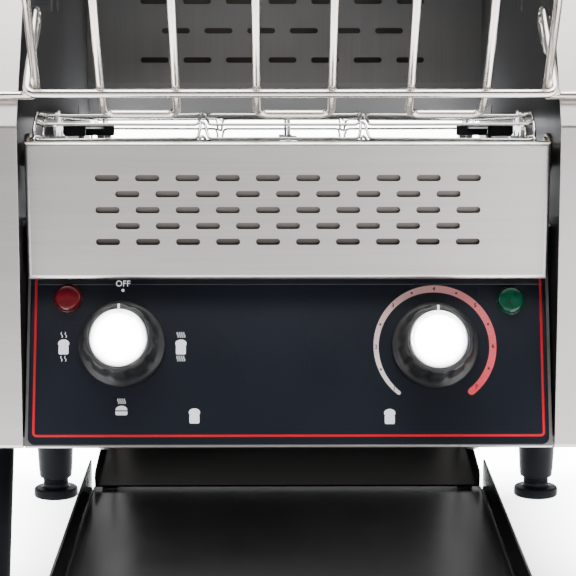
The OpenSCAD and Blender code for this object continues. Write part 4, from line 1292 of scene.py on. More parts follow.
# ------------------------------------------------------------------ toast path
def toast_slide():
    n = 40
    line = [SL0] + [slide_pt(0, SLA + (80 - SLA) * k / n) for k in range(n + 1)]
    b = Build()
    inner = [(SL0[0] - math.sin(math.radians(SLA)), SL0[1] + math.cos(math.radians(SLA)))] + [slide_pt(1, SLA + (80 - SLA) * k / n) for k in range(n + 1)]
    v, f = plate(line + inner[::-1], t=2 * SLW, b=0.15, z=SLW)
    b.add(v, f, SIDE)
    for s in (-1, 1):
        hi = [(SL0[0] - 8 * math.sin(math.radians(SLA)), SL0[1] + 8 * math.cos(math.radians(SLA)))] + [slide_pt(8, SLA + (80 - SLA) * k / n) for k in range(n + 1)]
        lo = [(SL0[0] - 0.9 * math.sin(math.radians(SLA)), SL0[1] + 0.9 * math.cos(math.radians(SLA)))] + [slide_pt(0.9, SLA + (80 - SLA) * k / n) for k in range(n + 1)]
        v, f = plate(fillet(lo + hi[::-1], [0] * len(lo) + [0] * (len(hi) - 1) + [3.0], 4), (), 1.0, 0.2, z=(-SLW + 1 if s < 0 else SLW))
        b.add(v, f, SIDE)
    b.done("toast_slide", MAT["slide"], slot="tray_steel", replaces=("toast_slide",), smooth=30)


toast_slide()


def slide_hangers():
    b = Build()
    for s in (-1, 1):
        v, f = plate(fillet([(209, 78.6), (221, 78.6), (221, 126.6), (209, 126.6)], 4, 5), [circle2(215, 119, 2.1, 16), circle2(215, 82.5, 2.1, 16)], 1.5, 0.2, z=(-SLW if s < 0 else SLW + 1.5))
        b.add(v, f, SIDE)
    b.done("slide_hangers", MAT["plated"], slot="plated_steel", replaces=("slide_hangers",))


slide_hangers()


def slide_studs():
    b = Build()
    for s in (-1, 1):
        for i, p in enumerate(STUDS):
            a = SLW if i < 2 else SLW + 1.5
            h0 = SLW - 1 if i < 2 else SLW
            o = frame_at((s * a, p[0], p[1]), (0, 1, 0), (0, 0, s), (s, 0, 0))
            v, f = lathe(round_profile([(2.1, 0), (4, 0), (4, TUN - a), (2.1, TUN - a)], [0, 0.3, 0.3, 0], 3), 32, cap=False)
            v2, f2 = lathe([(2.1, TUN - a), (2.1, 0)], 32, cap=False)
            b.add(v, f, o)
            b.add(v2, f2, o)
            o = frame_at((s * h0, p[0], p[1]), (0, 1, 0), (0, 0, -s), (-s, 0, 0))
            v, f = pan_head(3.5, 2.1)
            b.add(v, f, o)
            o = frame_at((s * (h0 - 1), p[0], p[1]), (0, 1, 0), (0, 0, s), (s, 0, 0))
            v, f = lathe(round_profile([(0, 0), (2, 0), (2, TUN + 6 - h0), (0, TUN + 6 - h0)], 0.3, 2), 20)
            b.add(v, f, o)
            o = frame_at((s * (TUN + 1), p[0], p[1]), (0, 1, 0), (0, 0, s), (s, 0, 0))
            v, f = plate(hexagon(0, 0, 7), [circle2(0, 0, 2.05, 18)], 3.2, 0.3, z=3.2)
            b.add(v, f, o)
        o = frame_at((s * (SLW + 1.5), 215, 82.5), (0, 1, 0), (0, 0, s), (s, 0, 0))
        v, f = pan_head(3.6, 2.2)
        b.add(v, f, o)
        o = frame_at((s * (SLW - 2.8), 215, 82.5), (0, 1, 0), (0, 0, s), (s, 0, 0))
        v, f = lathe(round_profile([(0, 0), (2, 0), (2, 5), (0, 5)], 0.3, 2), 20)
        b.add(v, f, o)
    b.done("slide_studs", MAT["plated"], slot="plated_steel", replaces=("slide_studs",))


slide_studs()

CT, ST = cs(2.35)
TRAY = frame_at((0, 97, 57), (1, 0, 0), (0, CT, ST), (0, -ST, CT))
TRAYSIDE = frame_at((0, 97, 57), (0, CT, ST), (0, -ST, CT), (1, 0, 0))


def toast_tray():
    """Folded sheet tray: rounded folds, turned grip lip, tongue at the back; the rims' hems are not built."""
    b = Build()
    wi, t, front, h = 102.5, 1.0, -197.0, 16.5
    r = 1.6
    # cross-section, swept front to back: floor with two folded walls
    line = fillet([(-wi - t, h - 0.05), (-wi - t, -t), (wi + t, -t), (wi + t, h - 0.05)], [0, r + 0.6, r + 0.6, 0], 6, closed=False)
    n = len(line)
    inner = []
    for i in range(n):
        p = Vector(line[i])
        a = (p - Vector(line[i - 1])) if i else (Vector(line[1]) - p)
        c = (Vector(line[i + 1]) - p) if i < n - 1 else (p - Vector(line[i - 1]))
        a.normalize(), c.normalize()
        m = (Vector((-a.y, a.x)) + Vector((-c.y, c.x))).normalized()
        inner.append(tuple(p + m * t / max(0.5, m.dot(Vector((-a.y, a.x))))))
    loop = line + inner[::-1]
    m = frame_at((0, 97, 57), (1, 0, 0), (0, -ST, CT), (0, -CT, -ST))
    v, f = plate(loop, (), -front - 1.0, 0.15, z=-front - 1.0)
    b.add(v, f, m)
    # front wall with the out-turned lip
    pr = fillet([(front + 6, -t), (front, -t), (front, h), (front - 5, h)], [0, r + 0.4, 1.2, 0], 5, closed=False)
    n = len(pr)
    inner = []
    for i in range(n):
        p = Vector(pr[i])
        a = (p - Vector(pr[i - 1])) if i else (Vector(pr[1]) - p)
        c = (Vector(pr[i + 1]) - p) if i < n - 1 else (p - Vector(pr[i - 1]))
        a.normalize(), c.normalize()
        k = (Vector((-a.y, a.x)) + Vector((-c.y, c.x))).normalized()
        inner.append(tuple(p - k * t / max(0.5, k.dot(Vector((-a.y, a.x))))))
    v, f = plate(pr + inner[::-1], (), 2 * (wi + t) - 0.4, 0.2, z=wi + t - 0.2)
    b.add(v, f, TRAYSIDE)
    # tongue
    v, f = plate(fillet([(-96.4, -2), (96.4, -2), (96.4, 93), (-96.4, 93)], [0, 0, 5, 5], 5), (), 1.0, 0.15, z=0)
    b.add(v, f, TRAY)
    v, f = plate([(-102.4, -1.5), (102.4, -1.5), (102.4, 6.5), (-102.4, 6.5)], (), 0.9, 0.15, z=-0.05)
    b.add(v, f, TRAY)
    b.done("toast_tray", MAT["tray"], "tray", slot="tray_steel", replaces=("toast_tray",), smooth=30)


toast_tray()


def tray_guide(name, s):
    b = Build()
    x0, x1 = (-98.0, -90.0) if s < 0 else (90.0, 98.0)
    for z in (-1.4, 1.4):
        lip = fillet([(x0, 8), (x1, 8), (x1, 92), (x0, 92)], 1.5, 3)
        v, f = plate(lip, (), 1.0, 0.15, z=z)
        b.add(v, f, TRAY)

    def under(y):
        return SL0[1] + (y - SL0[0]) * math.tan(math.radians(SLA))
    lean = math.tan(math.radians(2.35))
    loop = [(105.1, 57 + 8 * lean - 2.35), (189, 57 + 92 * lean - 2.35), (189, under(189) - 0.05), (105.1, under(105.1) - 0.05)]
    v, f = plate(loop, (), 1.0, 0.15, z=(-97.0 if s < 0 else 98.0))
    b.add(v, f, SIDE)
    b.done(name, MAT["plated"], slot="plated_steel", replaces=(name,))


tray_guide("left_tray_guide", -1)
tray_guide("right_tray_guide", 1)

# ------------------------------------------------------------------ loading rack
RW, RZ, RLEAN, RLEN = 2.0, 268.4, 53.8, 124.0
RX = [-86.6, -52.1, -15.0, 19.8, 56.0, 90.8]
ROX = (-115.9, 118.3)
RLX = (-121.0, 122.3)
RHX = (-120.4, 121.8)
RB = Vector((2.2, 270.8))
RT = Vector((RB.x - RLEN * math.cos(math.radians(RLEAN)), RB.y + RLEN * math.sin(math.radians(RLEAN))))
HD = 42.34
HR = 4.5


def loading_rack():
    e = Vector(cs(HD))
    n = Vector((-math.sin(math.radians(HD)), math.cos(math.radians(HD))))
    hook = Vector(HOOK)
    b = Build()

    def end(i):
        x = RHX[i]
        out = [Vector((RLX[i] + (0.7 if i == 0 else 0), 0.6, RZ - 0.2)), Vector((x, *(hook + n * HR)))]
        for k in range(1, 13):
            a = math.radians(HD + 90 - 180 * k / 12)
            out.append(Vector((x, hook.x + HR * math.cos(a), hook.y + HR * math.sin(a))))
        out.append(Vector((x, *(hook + n * (HR - 4.25) - e * 22))))
        return out
    left, right = end(0)[::-1], end(1)
    path = left + right
    rad = [0.0] * len(path)
    rad[len(left) - 1] = rad[len(left)] = 4.6
    v, f = tube(smooth_path(path, rad, 9), RW, 16)
    b.add(v, f, WORLD)
    # side bars along the boxes' sloped fronts
    for xs in ((XL + 9, -117.5), (118.5, XR - 9)):
        v, f = tube([(xs[0], 5.05, 267.2), ((xs[0] + xs[1]) / 2, 5.05, 267.2), (xs[1], 5.05, 267.2)], RW, 16)
        b.add(v, f, WORLD)
    # outer uprights with their cut ends behind the lower bar, and the top bar
    foot = (RB.x + 0.9, RB.y - 1.2)
    v, f = tube(smooth_path([(ROX[0], *foot), (ROX[0], RT.x, RT.y), (ROX[1], RT.x, RT.y), (ROX[1], *foot)], [0, 9, 9, 0], 9), RW, 16)
    b.add(v, f, WORLD)
    for i in (0, 2, 4):
        a, c = RX[i], RX[i + 1]
        pts = [(a, RT.x, RT.y), (a, RB.x, RB.y), (a, 20, 257.8), (c, 20, 257.8), (c, RB.x, RB.y), (c, RT.x, RT.y)]
        v, f = tube(smooth_path(pts, [0, 3.2, 5.2, 5.2, 3.2, 0], 8), RW, 16)
        b.add(v, f, WORLD)
    b.done("loading_rack", MAT["chrome"], "rack", slot="chrome_wire", replaces=("loading_rack",), smooth=60)
    # welds: small sunken lumps where wires cross, heat-tinted
    w = Build()
    for x in RX:
        for dx in (-1.5, 1.5):
            v, f = blob((x + dx, 0.9, 269.9), (0.9, 1.0, 0.8), 10)
            w.add(v, f, WORLD)
        for dx in (-1.4, 1.4):
            v, f = blob((x + dx, RT.x + 0.4, RT.y - 0.3), (0.9, 1.1, 1.1), 10)
            w.add(v, f, WORLD)
    for x in (-118.6, 119.6):
        v, f = blob((x, 2.9, 268.3), (1.8, 1.6, 1.5), 10)
        w.add(v, f, WORLD)
    for x in ROX:
        v, f = blob((x, 1.4, 270.0), (1.7, 1.2, 1.2), 10)
        w.add(v, f, WORLD)
    m = wire_metal("weld_tint", (0.50, 0.42, 0.34), 0.34, 0.3, (0.24, 0.15, 0.09))
    w.done("rack_welds", m, "rack", slot="chrome_wire", smooth=60)


loading_rack()


def rack_pins():
    b = Build()
    for s, x0 in ((-1, 119.5), (1, 120.8)):
        o = frame_at((s * x0, HOOK[0], HOOK[1]), (0, 1, 0), (0, 0, s), (s, 0, 0))
        h = TUN + 1 - x0
        v, f = lathe(round_profile([(0, 0), (2.0, 0), (2.0, h), (3.6, h), (3.6, h + 2.4), (0, h + 2.4)], [0, 0.6, 0, 0.3, 0.6, 0], 3), 32)
        b.add(v, f, o)
    b.done("rack_pins", MAT["plated"], slot="plated_steel", replaces=("rack_pins",))


rack_pins()

# ------------------------------------------------------------------ conveyor
RODS = 64


def along(s):
    """Point and outward normal of the belt loop at distance s from the front wheel's top tangent."""
    half = math.pi * BR
    if s < half:
        a = s / BR
        n = BN * math.cos(a) - BT * math.sin(a)
        return FA + n * BR, n
    if s < half + RUN:
        return FA - BN * BR + BT * (s - half), -BN
    if s < 2 * half + RUN:
        a = (s - half - RUN) / BR
        n = BT * math.sin(a) - BN * math.cos(a)
        return RA + n * BR, n
    return RA + BN * BR - BT * (s - 2 * half - RUN), BN


def loop_pt(s, lift=0.0):
    s = s % (2 * math.pi * BR + 2 * RUN)
    p, n = along(s)
    return p + n * lift


def conveyor_belt():
    """Flat-flex belt. Each wire runs across with two small Z steps that interlock with the next wire, and ends in hooks."""
    rnd = random.Random(4)
    r = 0.75
    L = 2 * math.pi * BR + 2 * RUN
    step = L / RODS
    joints = [-40.0, 35.7]
    x0, x1 = -120.2, 116.2
    b = Build()
    def bow(k, x):
        """The wires bow apart by turns between the belt's edges."""
        return (1 if k % 2 else -1) * 0.8 * math.cos(math.pi * (x - (x0 + x1) / 2) / (x1 - x0))

    for k in range(RODS):
        s0 = 3.4 + step * k
        sag = rnd.uniform(-0.12, 0.12)

        def q(x, ds, lift=0.0):
            u = max(0.0, min(1.0, -ds / step))
            mid = math.sin(math.pi * (x - x0) / (x1 - x0))
            p = loop_pt(s0 + ds + bow(k, x) * (1 - u) + bow(k - 1, x) * u, lift + (sag + 0.45) * mid - 0.25)
            return Vector((x, p.x, p.y))

        def edge(xe, s):
            """U-shaped end: one leg up from the strand, over the wire ahead, and the other leg back down."""
            return [q(xe + s * 4.6, -1.8, -0.3), q(xe + s * 4.5, -step * 0.45, -0.8), q(xe + s * 4.3, -step + 0.3, -1.5), q(xe + s * 3.6, -step - 1.7, -0.3),
                    q(xe + s * 1.0, -step - 1.7, 0.8), q(xe + s * 0.35, -step + 0.3, 1.5), q(xe + s * 0.2, -step * 0.45, 0.8), q(xe + s * 0.5, -0.9, 0.1), q(xe + s * 2.8, 0, 0)]
        pts = edge(x0, 1)
        for xj in joints:
            pts += [q(xj - 4.2, 0), q(xj - 2.6, -0.7, 0.3), q(xj - 1.9, -step * 0.55, 0.6), q(xj - 1.7, -step - 0.6, 0.9), q(xj - 0.5, -step - 1.1, 0.2),
                    q(xj + 0.7, -step - 0.5, -0.9), q(xj + 1.4, -step * 0.45, -0.5), q(xj + 2.4, -0.5, -0.2), q(xj + 4.2, 0)]
        pts += edge(x1, -1)[::-1]
        path = smooth_path(pts, 0.9, 2)
        v, f = tube(path, r, 8)
        b.add(v, f, WORLD)
    b.done("conveyor_belt", MAT["belt"], slot="belt_wire", replaces=("conveyor_belt",), smooth=60)


conveyor_belt()


def sprockets(name, p, xs, body):
    b = Build()
    turn = math.radians(90 - 3.4 + 21.366)
    for x in xs:
        out = []
        for k in range(12):
            a = turn + math.radians(30 * k)
            u, w = Vector((math.cos(a), math.sin(a))), Vector((-math.sin(a), math.cos(a)))
            for rr, hh in ((14.8, -3.4), (16.6, -2.7), (18.4, -2.0), (20.0, -0.9), (20.3, 0), (20.0, 0.9), (18.4, 2.0), (16.6, 2.7), (14.8, 3.4)):
                out.append(tuple(Vector(p) + u * rr + w * hh))
        holes = [circle2(p[0], p[1], 5.02, 32)] + [circle2(p[0] + 10.6 * math.cos(math.radians(45 + 90 * k)), p[1] + 10.6 * math.sin(math.radians(45 + 90 * k)), 2.6, 20) for k in range(4)]
        v, f = plate(out, holes, 1.4, 0.2, z=x + 0.7)
        b.add(v, f, SIDE)
        for s in (-1, 1):
            z = x + 4 if s > 0 else x - 0.7
            v, f = plate(circle2(p[0], p[1], 8, 40), [circle2(p[0], p[1], 5.02, 32)], 3.3, 0.35, z=z)
            b.add(v, f, SIDE)
    b.done(name, MAT["plated"], body, slot="plated_steel", replaces=(name,))


sprockets("idler_belt_sprockets", tuple(FA), [-110.1, 0, 110.1], "idler")
sprockets("drive_belt_sprockets", tuple(RA), [-110.1, 0, 110.1], "drive")


def belt_rail(name, s):
    b = Build()
    c, sn = cs(3.4)
    # angle section swept along the belt, drawn as its section and turned
    x0, x1 = (-125.0, -108.5) if s < 0 else (108.5, 125.0)
    rail = frame_at((0, FA.x, FA.y), (1, 0, 0), (0, sn, c), (0, -c, sn))
    wall = x0 if s < 0 else x1
    free = x1 if s < 0 else x0
    sec = fillet([(wall, 7.4), (wall, 12.8), (free, 12.8), (free, 11.3), (wall - s * 1.5, 11.3), (wall - s * 1.5, 7.4)] if s < 0 else
                 [(wall, 7.4), (wall, 12.8), (free, 12.8), (free, 11.3), (wall - 1.5, 11.3), (wall - 1.5, 7.4)], [0.2, 1.6, 0.5, 0.3, 0.8, 0.2], 4)
    if s < 0:
        sec = fillet([(wall, 7.4), (wall, 12.8), (free, 12.8), (free, 11.3), (wall + 1.5, 11.3), (wall + 1.5, 7.4)], [0.2, 1.6, 0.5, 0.3, 0.8, 0.2], 4)
    v, f = plate(sec, (), 112.0, 0.25, z=-112.0)
    b.add(v, f, rail)
    for y, w, up in ((-112.0, 0, 12.6), (-222.5, 6.0, 13.4)):
        end = free + (w if s < 0 else -w)
        e = fillet([(wall, 7.4), (wall, up), (end, up), (end, 7.4)], 0.8, 3)
        v, f = plate(e, (), 1.5, 0.2, z=y)
        b.add(v, f, rail)
    b.done(name, MAT["rail"], slot="rail_black", replaces=(name,))


belt_rail("left_belt_rail", -1)
belt_rail("right_belt_rail", 1)


def shaft(name, x0, x1, p, r, body):
    b = Build()
    o = frame_at((x0, p[0], p[1]), (0, 1, 0), (0, 0, 1), (1, 0, 0))
    v, f = lathe(round_profile([(0, 0), (r, 0), (r, x1 - x0), (0, x1 - x0)], 0.6, 3), 40)
    b.add(v, f, o)
    b.done(name, MAT["shaft"], body, slot="shaft_steel", replaces=(name,))


shaft("drive_shaft", -133, 141, RA, 5, "drive")
shaft("idler_shaft", -133, 133, FA, 5, "idler")


def bushes():
    b = Build()
    for p in (FA, RA):
        for s in (-1, 1):
            o = frame_at((s * 123.4, p.x, p.y), (0, 1, 0), (0, 0, s), (s, 0, 0))
            v, f = plate(circle2(0, 0, 9.2, 48), [circle2(0, 0, 5.05, 36)], 1.6, 0.35, z=1.6)
            b.add(v, f, o)
            v, f = plate(circle2(0, 0, 7.5, 40), [circle2(0, 0, 5.06, 36)], 8, 0.4, z=7.1)
            b.add(v, f, o)
    b.done("shaft_bushes", MAT["bronze"], slot="bronze", replaces=("shaft_bushes",))


bushes()

# ------------------------------------------------------------------ heating
def heaters(name, pts):
    """Frosted tubes with drawn-down ends, and the coil inside seen as a faint spiral of ridges."""
    b = Build()
    for y, z in pts:
        o = frame_at((-124, y, z), (0, 1, 0), (0, 0, 1), (1, 0, 0))
        pr = [(0, 0.2), (3.0, 0.2), (4.2, 0.8), (4.6, 2), (5.0, 4.2)]
        pr += [(5.0 - (0.05 if k % 2 else 0.0), 4.2 + (239.6) * k / 60) for k in range(1, 61)]
        pr += [(4.6, 246), (4.2, 247.2), (3.0, 247.8), (0, 247.8)]
        v, f = lathe(pr, 24)
        b.add(v, f, o)
    b.done(name, MAT["quartz"], slot="quartz", replaces=(name,), smooth=60)


heaters("upper_quartz_tubes", [(y, UP_Z) for y in UP_Y])
heaters("lower_quartz_tubes", [(y, belt_mid(y) - 2) for y in LO_Y])


def heater_ends():
    b = Build()
    for y, z in [(y, UP_Z) for y in UP_Y] + [(y, belt_mid(y) - 2) for y in LO_Y]:
        for s in (-1, 1):
            o = frame_at((s * 119.5, y, z), (0, 1, 0), (0, 0, s), (s, 0, 0))
            pr = round_profile([(5.05, 4.6), (5.05, 0), (6.4, 0), (7.0, 0.8), (7.0, 8.5), (6.5, 9.0), (6.5, 10), (7.0, 10.5), (7.0, 16.5), (6.2, 17.5), (0, 17.5)], [0, 0.2, 0.2, 0.2, 0.3, 0.2, 0.2, 0.3, 0.3, 0.3, 0], 2)
            v, f = lathe(pr, 32, cap=False)
            b.add(v, f, o)
            v, f = lathe([(5.05, 4.6), (0, 4.6)], 32, cap=False)
            b.add(v, f, o)
    b.done("heater_ends", MAT["ceramic"], slot="ceramic", replaces=("heater_ends",))


heater_ends()


def reflectors():
    b = Build()
    bent_sheet(b, [(97, 340.4), (109.6, 353), (295.4, 353), (308, 340.4)], [0, 4, 4, 0], 0.9, -1, -TUN + 0.2, TUN - 0.2)
    b.done("upper_reflector", MAT["plated"], slot="plated_steel", replaces=("upper_reflector",))
    b = Build()
    c, sn = cs(3.4)
    m = frame_at((0, FA.x, FA.y), (1, 0, 0), (0, c, -sn), (0, sn, c))
    v, f = plate(fillet([(-TUN + 0.2, 26), (TUN - 0.2, 26), (TUN - 0.2, 216), (-TUN + 0.2, 216)], 3, 3), [oblong(x, 40 + 54 * j, 20, 3) for x in (-80, -40, 0, 40, 80) for j in range(4)], 0.8, 0.12, z=-11.2)
    b.add(v, f, m)
    b.done("lower_reflector", MAT["plated"], slot="plated_steel", replaces=("lower_reflector",))


reflectors()

# ------------------------------------------------------------------ legs and feet
LEGS = {"front_left": (-148.0, 30.0), "front_right": (160.6, 30.0), "rear_left": (-146.5, 304.0), "rear_right": (160.6, 304.0)}


def legs():
    for k, (x, y) in LEGS.items():
        o = frame_at((x, y, 0), (1, 0, 0), (0, 1, 0), (0, 0, 1))
        b = Build()
        pr = [(8.1, 30), (8.1, 12.9), (8.5, 12.6), (9.2, 12.6), (9.75, 12.9), (10.2, 14), (10.35, 17.0), (10.55, 17.4), (14.3, 90.5), (14.45, 93.6), (14.6, 96.6),
              (15.0, 97.4), (15.5, 98.1), (15.6, 98.7), (15.6, 101.3), (15.3, 101.8), (14.8, 101.9), (0, 101.9)]
        v, f = lathe(pr, 56, cap=False)
        v2, f2 = lathe([(8.1, 30), (0, 30)], 56, cap=False)
        b.add(v, f, o)
        b.add(v2, f2, o)
        b.done(k + "_leg", MAT["legs"], slot="leg_black", replaces=(k + "_leg",), smooth=50)
        b = Build()
        pr = [(0, 0.05), (12.6, 0.0), (13.3, 0.25), (13.8, 0.9), (13.85, 1.6), (13.85, 4.6), (13.6, 5.4), (13.0, 5.9), (12.2, 6.0), (9.4, 6.0), (8.6, 6.3), (8.1, 7.2), (7.95, 8.2)]
        z = 8.2
        while z < 32.5:
            pr += [(7.95, z), (7.6, z + 0.5), (7.95, z + 1.0)]
            z += 1.25
        pr += [(7.8, 33.4), (7.2, 33.8), (0, 33.8)]
        v, f = lathe(pr, 48)
        b.add(v, f, o)
        b.done(k + "_foot", MAT["legs"], k + "_foot", slot="leg_black", replaces=(k + "_foot",), smooth=50)


legs()


# ------------------------------------------------------------------ fasteners, gland
def screws():
    b = Build()
    for y, z in ((26, 128), (314, 128), (314, 350), (110, 350)):
        for x, s in ((XL, -1), (XR, 1)):
            o = frame_at((x, y, z), (0, 1, 0), (0, 0, s), (s, 0, 0)) @ Matrix.Rotation(math.radians((y * 7 + z * 3 + 40 * s) % 90), 4, "Z")
            b.add(*pan_head(3.6, 1.7), o)
            v, f = lathe([(0, -6), (1.2, -6), (1.5, -5.6), (1.5, 0.1), (0, 0.1)], 20)
            b.add(v, f, o)
    for x in (XL + 26, TUN + 33):
        for z in (128, 350):
            o = frame_at((x, YB, z), (-1, 0, 0), (0, 0, 1), (0, 1, 0)) @ Matrix.Rotation(math.radians((x * 5 + z) % 90), 4, "Z")
            b.add(*pan_head(3.6, 1.7), o)
            v, f = lathe([(0, -6), (1.2, -6), (1.5, -5.6), (1.5, 0.1), (0, 0.1)], 20)
            b.add(v, f, o)
    for x in (-90, 90):
        o = frame_at((x, YB, TOP - 8), (-1, 0, 0), (0, 0, 1), (0, 1, 0)) @ Matrix.Rotation(0.3 if x < 0 else 1.1, 4, "Z")
        b.add(*pan_head(3.6, 1.7), o)
        v, f = lathe([(0, -6), (1.2, -6), (1.5, -5.6), (1.5, 0.1), (0, 0.1)], 20)
        b.add(v, f, o)
    for x in (-90, 90):
        o = frame_at((x, YB, 268), (-1, 0, 0), (0, 0, 1), (0, 1, 0)) @ Matrix.Rotation(0.8 if x < 0 else 0.2, 4, "Z")
        b.add(*pan_head(3.6, 1.7), o)
        v, f = lathe([(0, -6.8), (1.2, -6.8), (1.5, -6.4), (1.5, 0.1), (0, 0.1)], 20)
        b.add(v, f, o)
    for x in (-86.9, 86.8):
        o = frame_at((x, 6, 102.1), (1, 0, 0), (0, -1, 0), (0, 0, -1))
        b.add(*pan_head(3.6, 1.7), o)
        v, f = lathe([(0, -6), (1.2, -6), (1.5, -5.6), (1.5, 0.1), (0, 0.1)], 20)
        b.add(v, f, o)
    for x, y in LEGS.values():
        o = frame_at((x, y, 0), (1, 0, 0), (0, 1, 0), (0, 0, 1))
        v, f = plate(hexagon(0, 0, 13), (), 4.5, 0.5, z=107.5)
        b.add(v, f, o)
        v, f = lathe(round_profile([(0, 86), (4, 86), (4, 104.2), (0, 104.2)], 0.5, 2), 24)
        b.add(v, f, o)
    b.done("casing_screws", MAT["plated"], slot="plated_steel", replaces=("casing_screws",))


screws()


def cable_gland():
    b = Build()
    o = frame_at((-150, 0, 160), (-1, 0, 0), (0, 0, 1), (0, 1, 0))
    v, f = plate(circle2(0, 0, 8, 40), [circle2(0, 0, 5.0, 32)], 9, 0.4, z=YB + 1)
    b.add(v, f, o)
    v, f = plate(circle2(0, 0, 8, 40), [circle2(0, 0, 4.1, 32)], 6, 0.4, z=YB + 6.8)
    b.add(v, f, o)
    v, f = plate(hexagon(0, 0, 20.6), [circle2(0, 0, 8.02, 40)], 4, 0.6, z=YB - 1)
    b.add(v, f, o)
    v, f = plate(hexagon(0, 0, 18.8, 15), [circle2(0, 0, 8.0, 40)], 4, 0.7, z=YB + 4)
    b.add(v, f, o)
    ribs = []
    for k in range(96):
        a = 2 * math.pi * k / 96
        rr = 9.1 - 0.45 * (0.5 - 0.5 * math.cos(24 * a))
        ribs.append((rr * math.cos(a), rr * math.sin(a)))
    v, f = plate(ribs, [circle2(0, 0, 4.1, 32)], 6, 0.8, 3, z=YB + 10)
    b.add(v, f, o)
    b.done("cable_gland", MAT["legs"], slot="leg_black", replaces=("cable_gland",))


cable_gland()

# ------------------------------------------------------------------ carried-over CAD nodes: finish only
CARRY = {"chain_wheel": "chain", "motor_pinion": "chain", "drive_chain": "chain", "gear_motor": "motor", "motor_bracket": "plated",
         "motor_shaft": "shaft", "selector_spindle": "shaft", "speed_spindle": "shaft", "selector_switch": "switch",
         "speed_control": "board", "terminal_block": "terminal"}
for n, k in CARRY.items():
    o = NODES[n]
    o.data.materials.clear()
    o.data.materials.append(MAT[k])
    w = o.modifiers.new("weld", "WELD")
    w.merge_threshold = 0.00002
    bv = o.modifiers.new("edges", "BEVEL")
    bv.width, bv.segments, bv.limit_method, bv.angle_limit = 0.00025, 2, "ANGLE", math.radians(35)

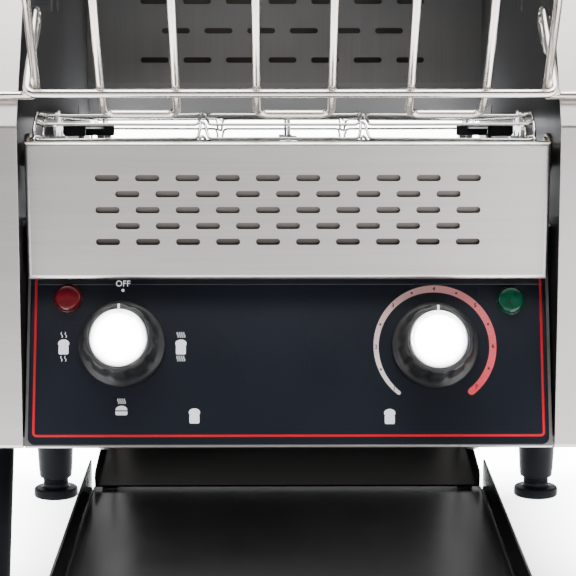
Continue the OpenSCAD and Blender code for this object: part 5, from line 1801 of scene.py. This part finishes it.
# ------------------------------------------------------------------ stage, light, camera
def stage():
    b = Build()
    v, f = plate([(-3000, -3000), (3000, -3000), (3000, 3000), (-3000, 3000)], (), 10, 1.0, z=0)
    me = bpy.data.meshes.new("floor")
    me.from_pydata([WORLD @ Vector(p) for p in v], [], f)
    o = bpy.data.objects.new("floor", me)
    scene.collection.objects.link(o)
    m, nt, bs = new_mat("floor_pale")
    n = noise(nt, coords(nt), 3, 2, 0.5)
    bs.inputs["Roughness"].default_value = 0.6
    # a white sweep that glows bright behind the object, with a pale grey base in front of it (painted shade) and a
    # painted shadow underneath
    tc = node(nt, "ShaderNodeTexCoord")
    sep = node(nt, "ShaderNodeSeparateXYZ")
    nt.links.new(tc.outputs["Object"], sep.inputs[0])
    x, y = sep.outputs["X"], sep.outputs["Y"]
    at = span(nt, y, 0, 1, -3, 3)
    # painted shade: the floor's own colour drops to a pale grey in front of the object
    grey = ramp(nt, at, [(0.0, (0.34, 0.34, 0.34)), (0.44, (0.34, 0.34, 0.34)), (0.5, (0.88, 0.88, 0.89))])
    nt.links.new(mix(nt, span(nt, n, 0, 0.05), grey, (0.8, 0.8, 0.81)), bs.inputs["Base Color"])
    glow = ramp(nt, at, [(0.0, (0.03, 0.03, 0.03)), (0.29, (0.024, 0.024, 0.024)), (0.335, (0.036, 0.036, 0.036)), (0.39, (0.066, 0.066, 0.066)), (0.43, (0.12, 0.12, 0.12)), (0.45, (0.22, 0.22, 0.22)), (0.475, (0.3, 0.3, 0.3)), (0.51, (0.96, 0.98, 1.0)), (1.0, (0.96, 0.98, 1.0))])
    # painted light: the bright glow behind is kept to a wedge that widens with distance behind the object
    wide = math_(nt, "SUBTRACT", math_(nt, "ABSOLUTE", math_(nt, "SUBTRACT", x, 0.0)), math_(nt, "MULTIPLY", y, 0.13))
    glow = mix(nt, span(nt, wide, 0, 1, 0.24, 0.85), glow, (0.12, 0.12, 0.122), "DARKEN")
    # painted light: a paler patch of floor at the right front
    side = math_(nt, "MULTIPLY", span(nt, x, 0, 1, 0.12, 0.4), span(nt, y, 1, 0, -0.5, -0.1))
    glow = mix(nt, side, glow, (0.25, 0.25, 0.25), "LIGHTEN")
    # painted shadow: the glow drops to almost nothing under the machine's footprint
    off = math_(nt, "MAXIMUM", math_(nt, "SUBTRACT", math_(nt, "ABSOLUTE", x), 0.16), math_(nt, "SUBTRACT", math_(nt, "ABSOLUTE", math_(nt, "SUBTRACT", y, 0.045)), 0.15))
    glow = mix(nt, span(nt, off, 0, 1, -0.05, 0.07), (0.032, 0.032, 0.034), glow)
    nt.links.new(glow, bs.inputs["Emission Color"])
    bs.inputs["Emission Strength"].default_value = 14.0
    me.materials.append(m)
    w = bpy.data.worlds.new("studio")
    scene.world = w
    w.use_nodes = True
    nt = w.node_tree
    bg = nt.nodes["Background"]
    tc = node(nt, "ShaderNodeTexCoord")
    sep = node(nt, "ShaderNodeSeparateXYZ")
    nt.links.new(tc.outputs["Generated"], sep.inputs[0])
    up = span(nt, sep.outputs["Z"], 0, 1, -1, 1)
    front = ramp(nt, up, [(0.0, (0.043, 0.043, 0.043)), (0.5, (0.043, 0.043, 0.043)), (0.56, (0.0215, 0.0215, 0.0215)), (0.61, (0.013, 0.013, 0.014)), (0.715, (0.0142, 0.0142, 0.0155)), (0.7285, (0.03, 0.03, 0.032)), (0.7305, (0.0033, 0.0033, 0.0036)), (0.81, (0.0033, 0.0033, 0.0036)), (0.862, (0.045, 0.045, 0.045)), (1.0, (0.107, 0.107, 0.107))])
    back = ramp(nt, up, [(0.0, (0.96, 0.98, 1.0)), (0.53, (0.96, 0.98, 1.0)), (0.58, (0.107, 0.107, 0.109)), (0.75, (0.078, 0.078, 0.078)), (1.0, (0.107, 0.107, 0.107))])
    beyond = ramp(nt, up, [(0.0, (0.13, 0.13, 0.132)), (0.53, (0.13, 0.13, 0.132)), (0.58, (0.09, 0.09, 0.092)), (0.75, (0.078, 0.078, 0.078)), (1.0, (0.107, 0.107, 0.107))])
    rest = mix(nt, span(nt, sep.outputs["Y"], 0, 1, -0.1, 0.35), front, beyond)
    nt.links.new(mix(nt, span(nt, sep.outputs["Y"], 0, 1, 0.85, 0.975), rest, back), bg.inputs["Color"])
    bg.inputs["Strength"].default_value = 14.0


stage()


def area(name, loc, target, size, power, colour=(1, 1, 1), size_y=None):
    l = bpy.data.lights.new(name, "AREA")
    l.shape = "RECTANGLE"
    l.size, l.size_y = size, size_y or size
    l.energy = power
    l.color = colour
    o = bpy.data.objects.new(name, l)
    scene.collection.objects.link(o)
    o.location = loc
    d = Vector(target) - Vector(loc)
    o.rotation_euler = d.to_track_quat("-Z", "Y").to_euler()
    return o


area("key_top", (0.0, -0.3, 2.0), (0, 0, 0.2), 2.2, 45, (1, 0.99, 0.97), 1.6)
area("front_top", (0.0, -0.8, 2.7), (0, 0, 0.25), 2.4, 36, (1, 0.99, 0.98), 0.9)
area("side_left", (-1.8, -0.2, 0.8), (0, 0, 0.2), 1.2, 9, (0.98, 0.99, 1), 1.2)
area("side_right", (1.8, -0.4, 0.8), (0, 0, 0.2), 1.2, 9, (1, 1, 1), 1.2)
area("back_wash", (0.0, 2.0, 1.0), (0, 0.1, 0.15), 2.4, 14, (0.97, 0.98, 1), 1.2)

# a small lamp on each knob's face
for n, u, v, a in (("left", SEL[0], SEL[1], 4.8), ("right", SPD[0], SPD[1], -5.1)):
    l = bpy.data.lights.new("knob_" + n, "SPOT")
    l.energy, l.spot_size, l.spot_blend, l.shadow_soft_size = 60, math.radians(1.24), 0.1, 0.003
    o = bpy.data.objects.new("knob_" + n, l)
    scene.collection.objects.link(o)
    at = PANEL @ Vector((u, v, 23))
    d = Vector((-math.sin(math.radians(a)), -math.cos(math.radians(a)) * math.cos(math.radians(26.4)), math.sin(math.radians(26.4))))
    o.location = at + d.normalized() * 1.3
    o.rotation_euler = (-d).to_track_quat("-Z", "Y").to_euler()

cam = bpy.data.cameras.new("camera")
cam.sensor_width = 36
cam.lens = 36 * 1850 / 576
cam.clip_start, cam.clip_end = 0.02, 30
co = bpy.data.objects.new("camera", cam)
scene.collection.objects.link(co)
co.location = P(-7.2, -850, 302)
co.rotation_euler = (math.radians(90 - 8.28), 0, math.radians(-0.45))
scene.camera = co
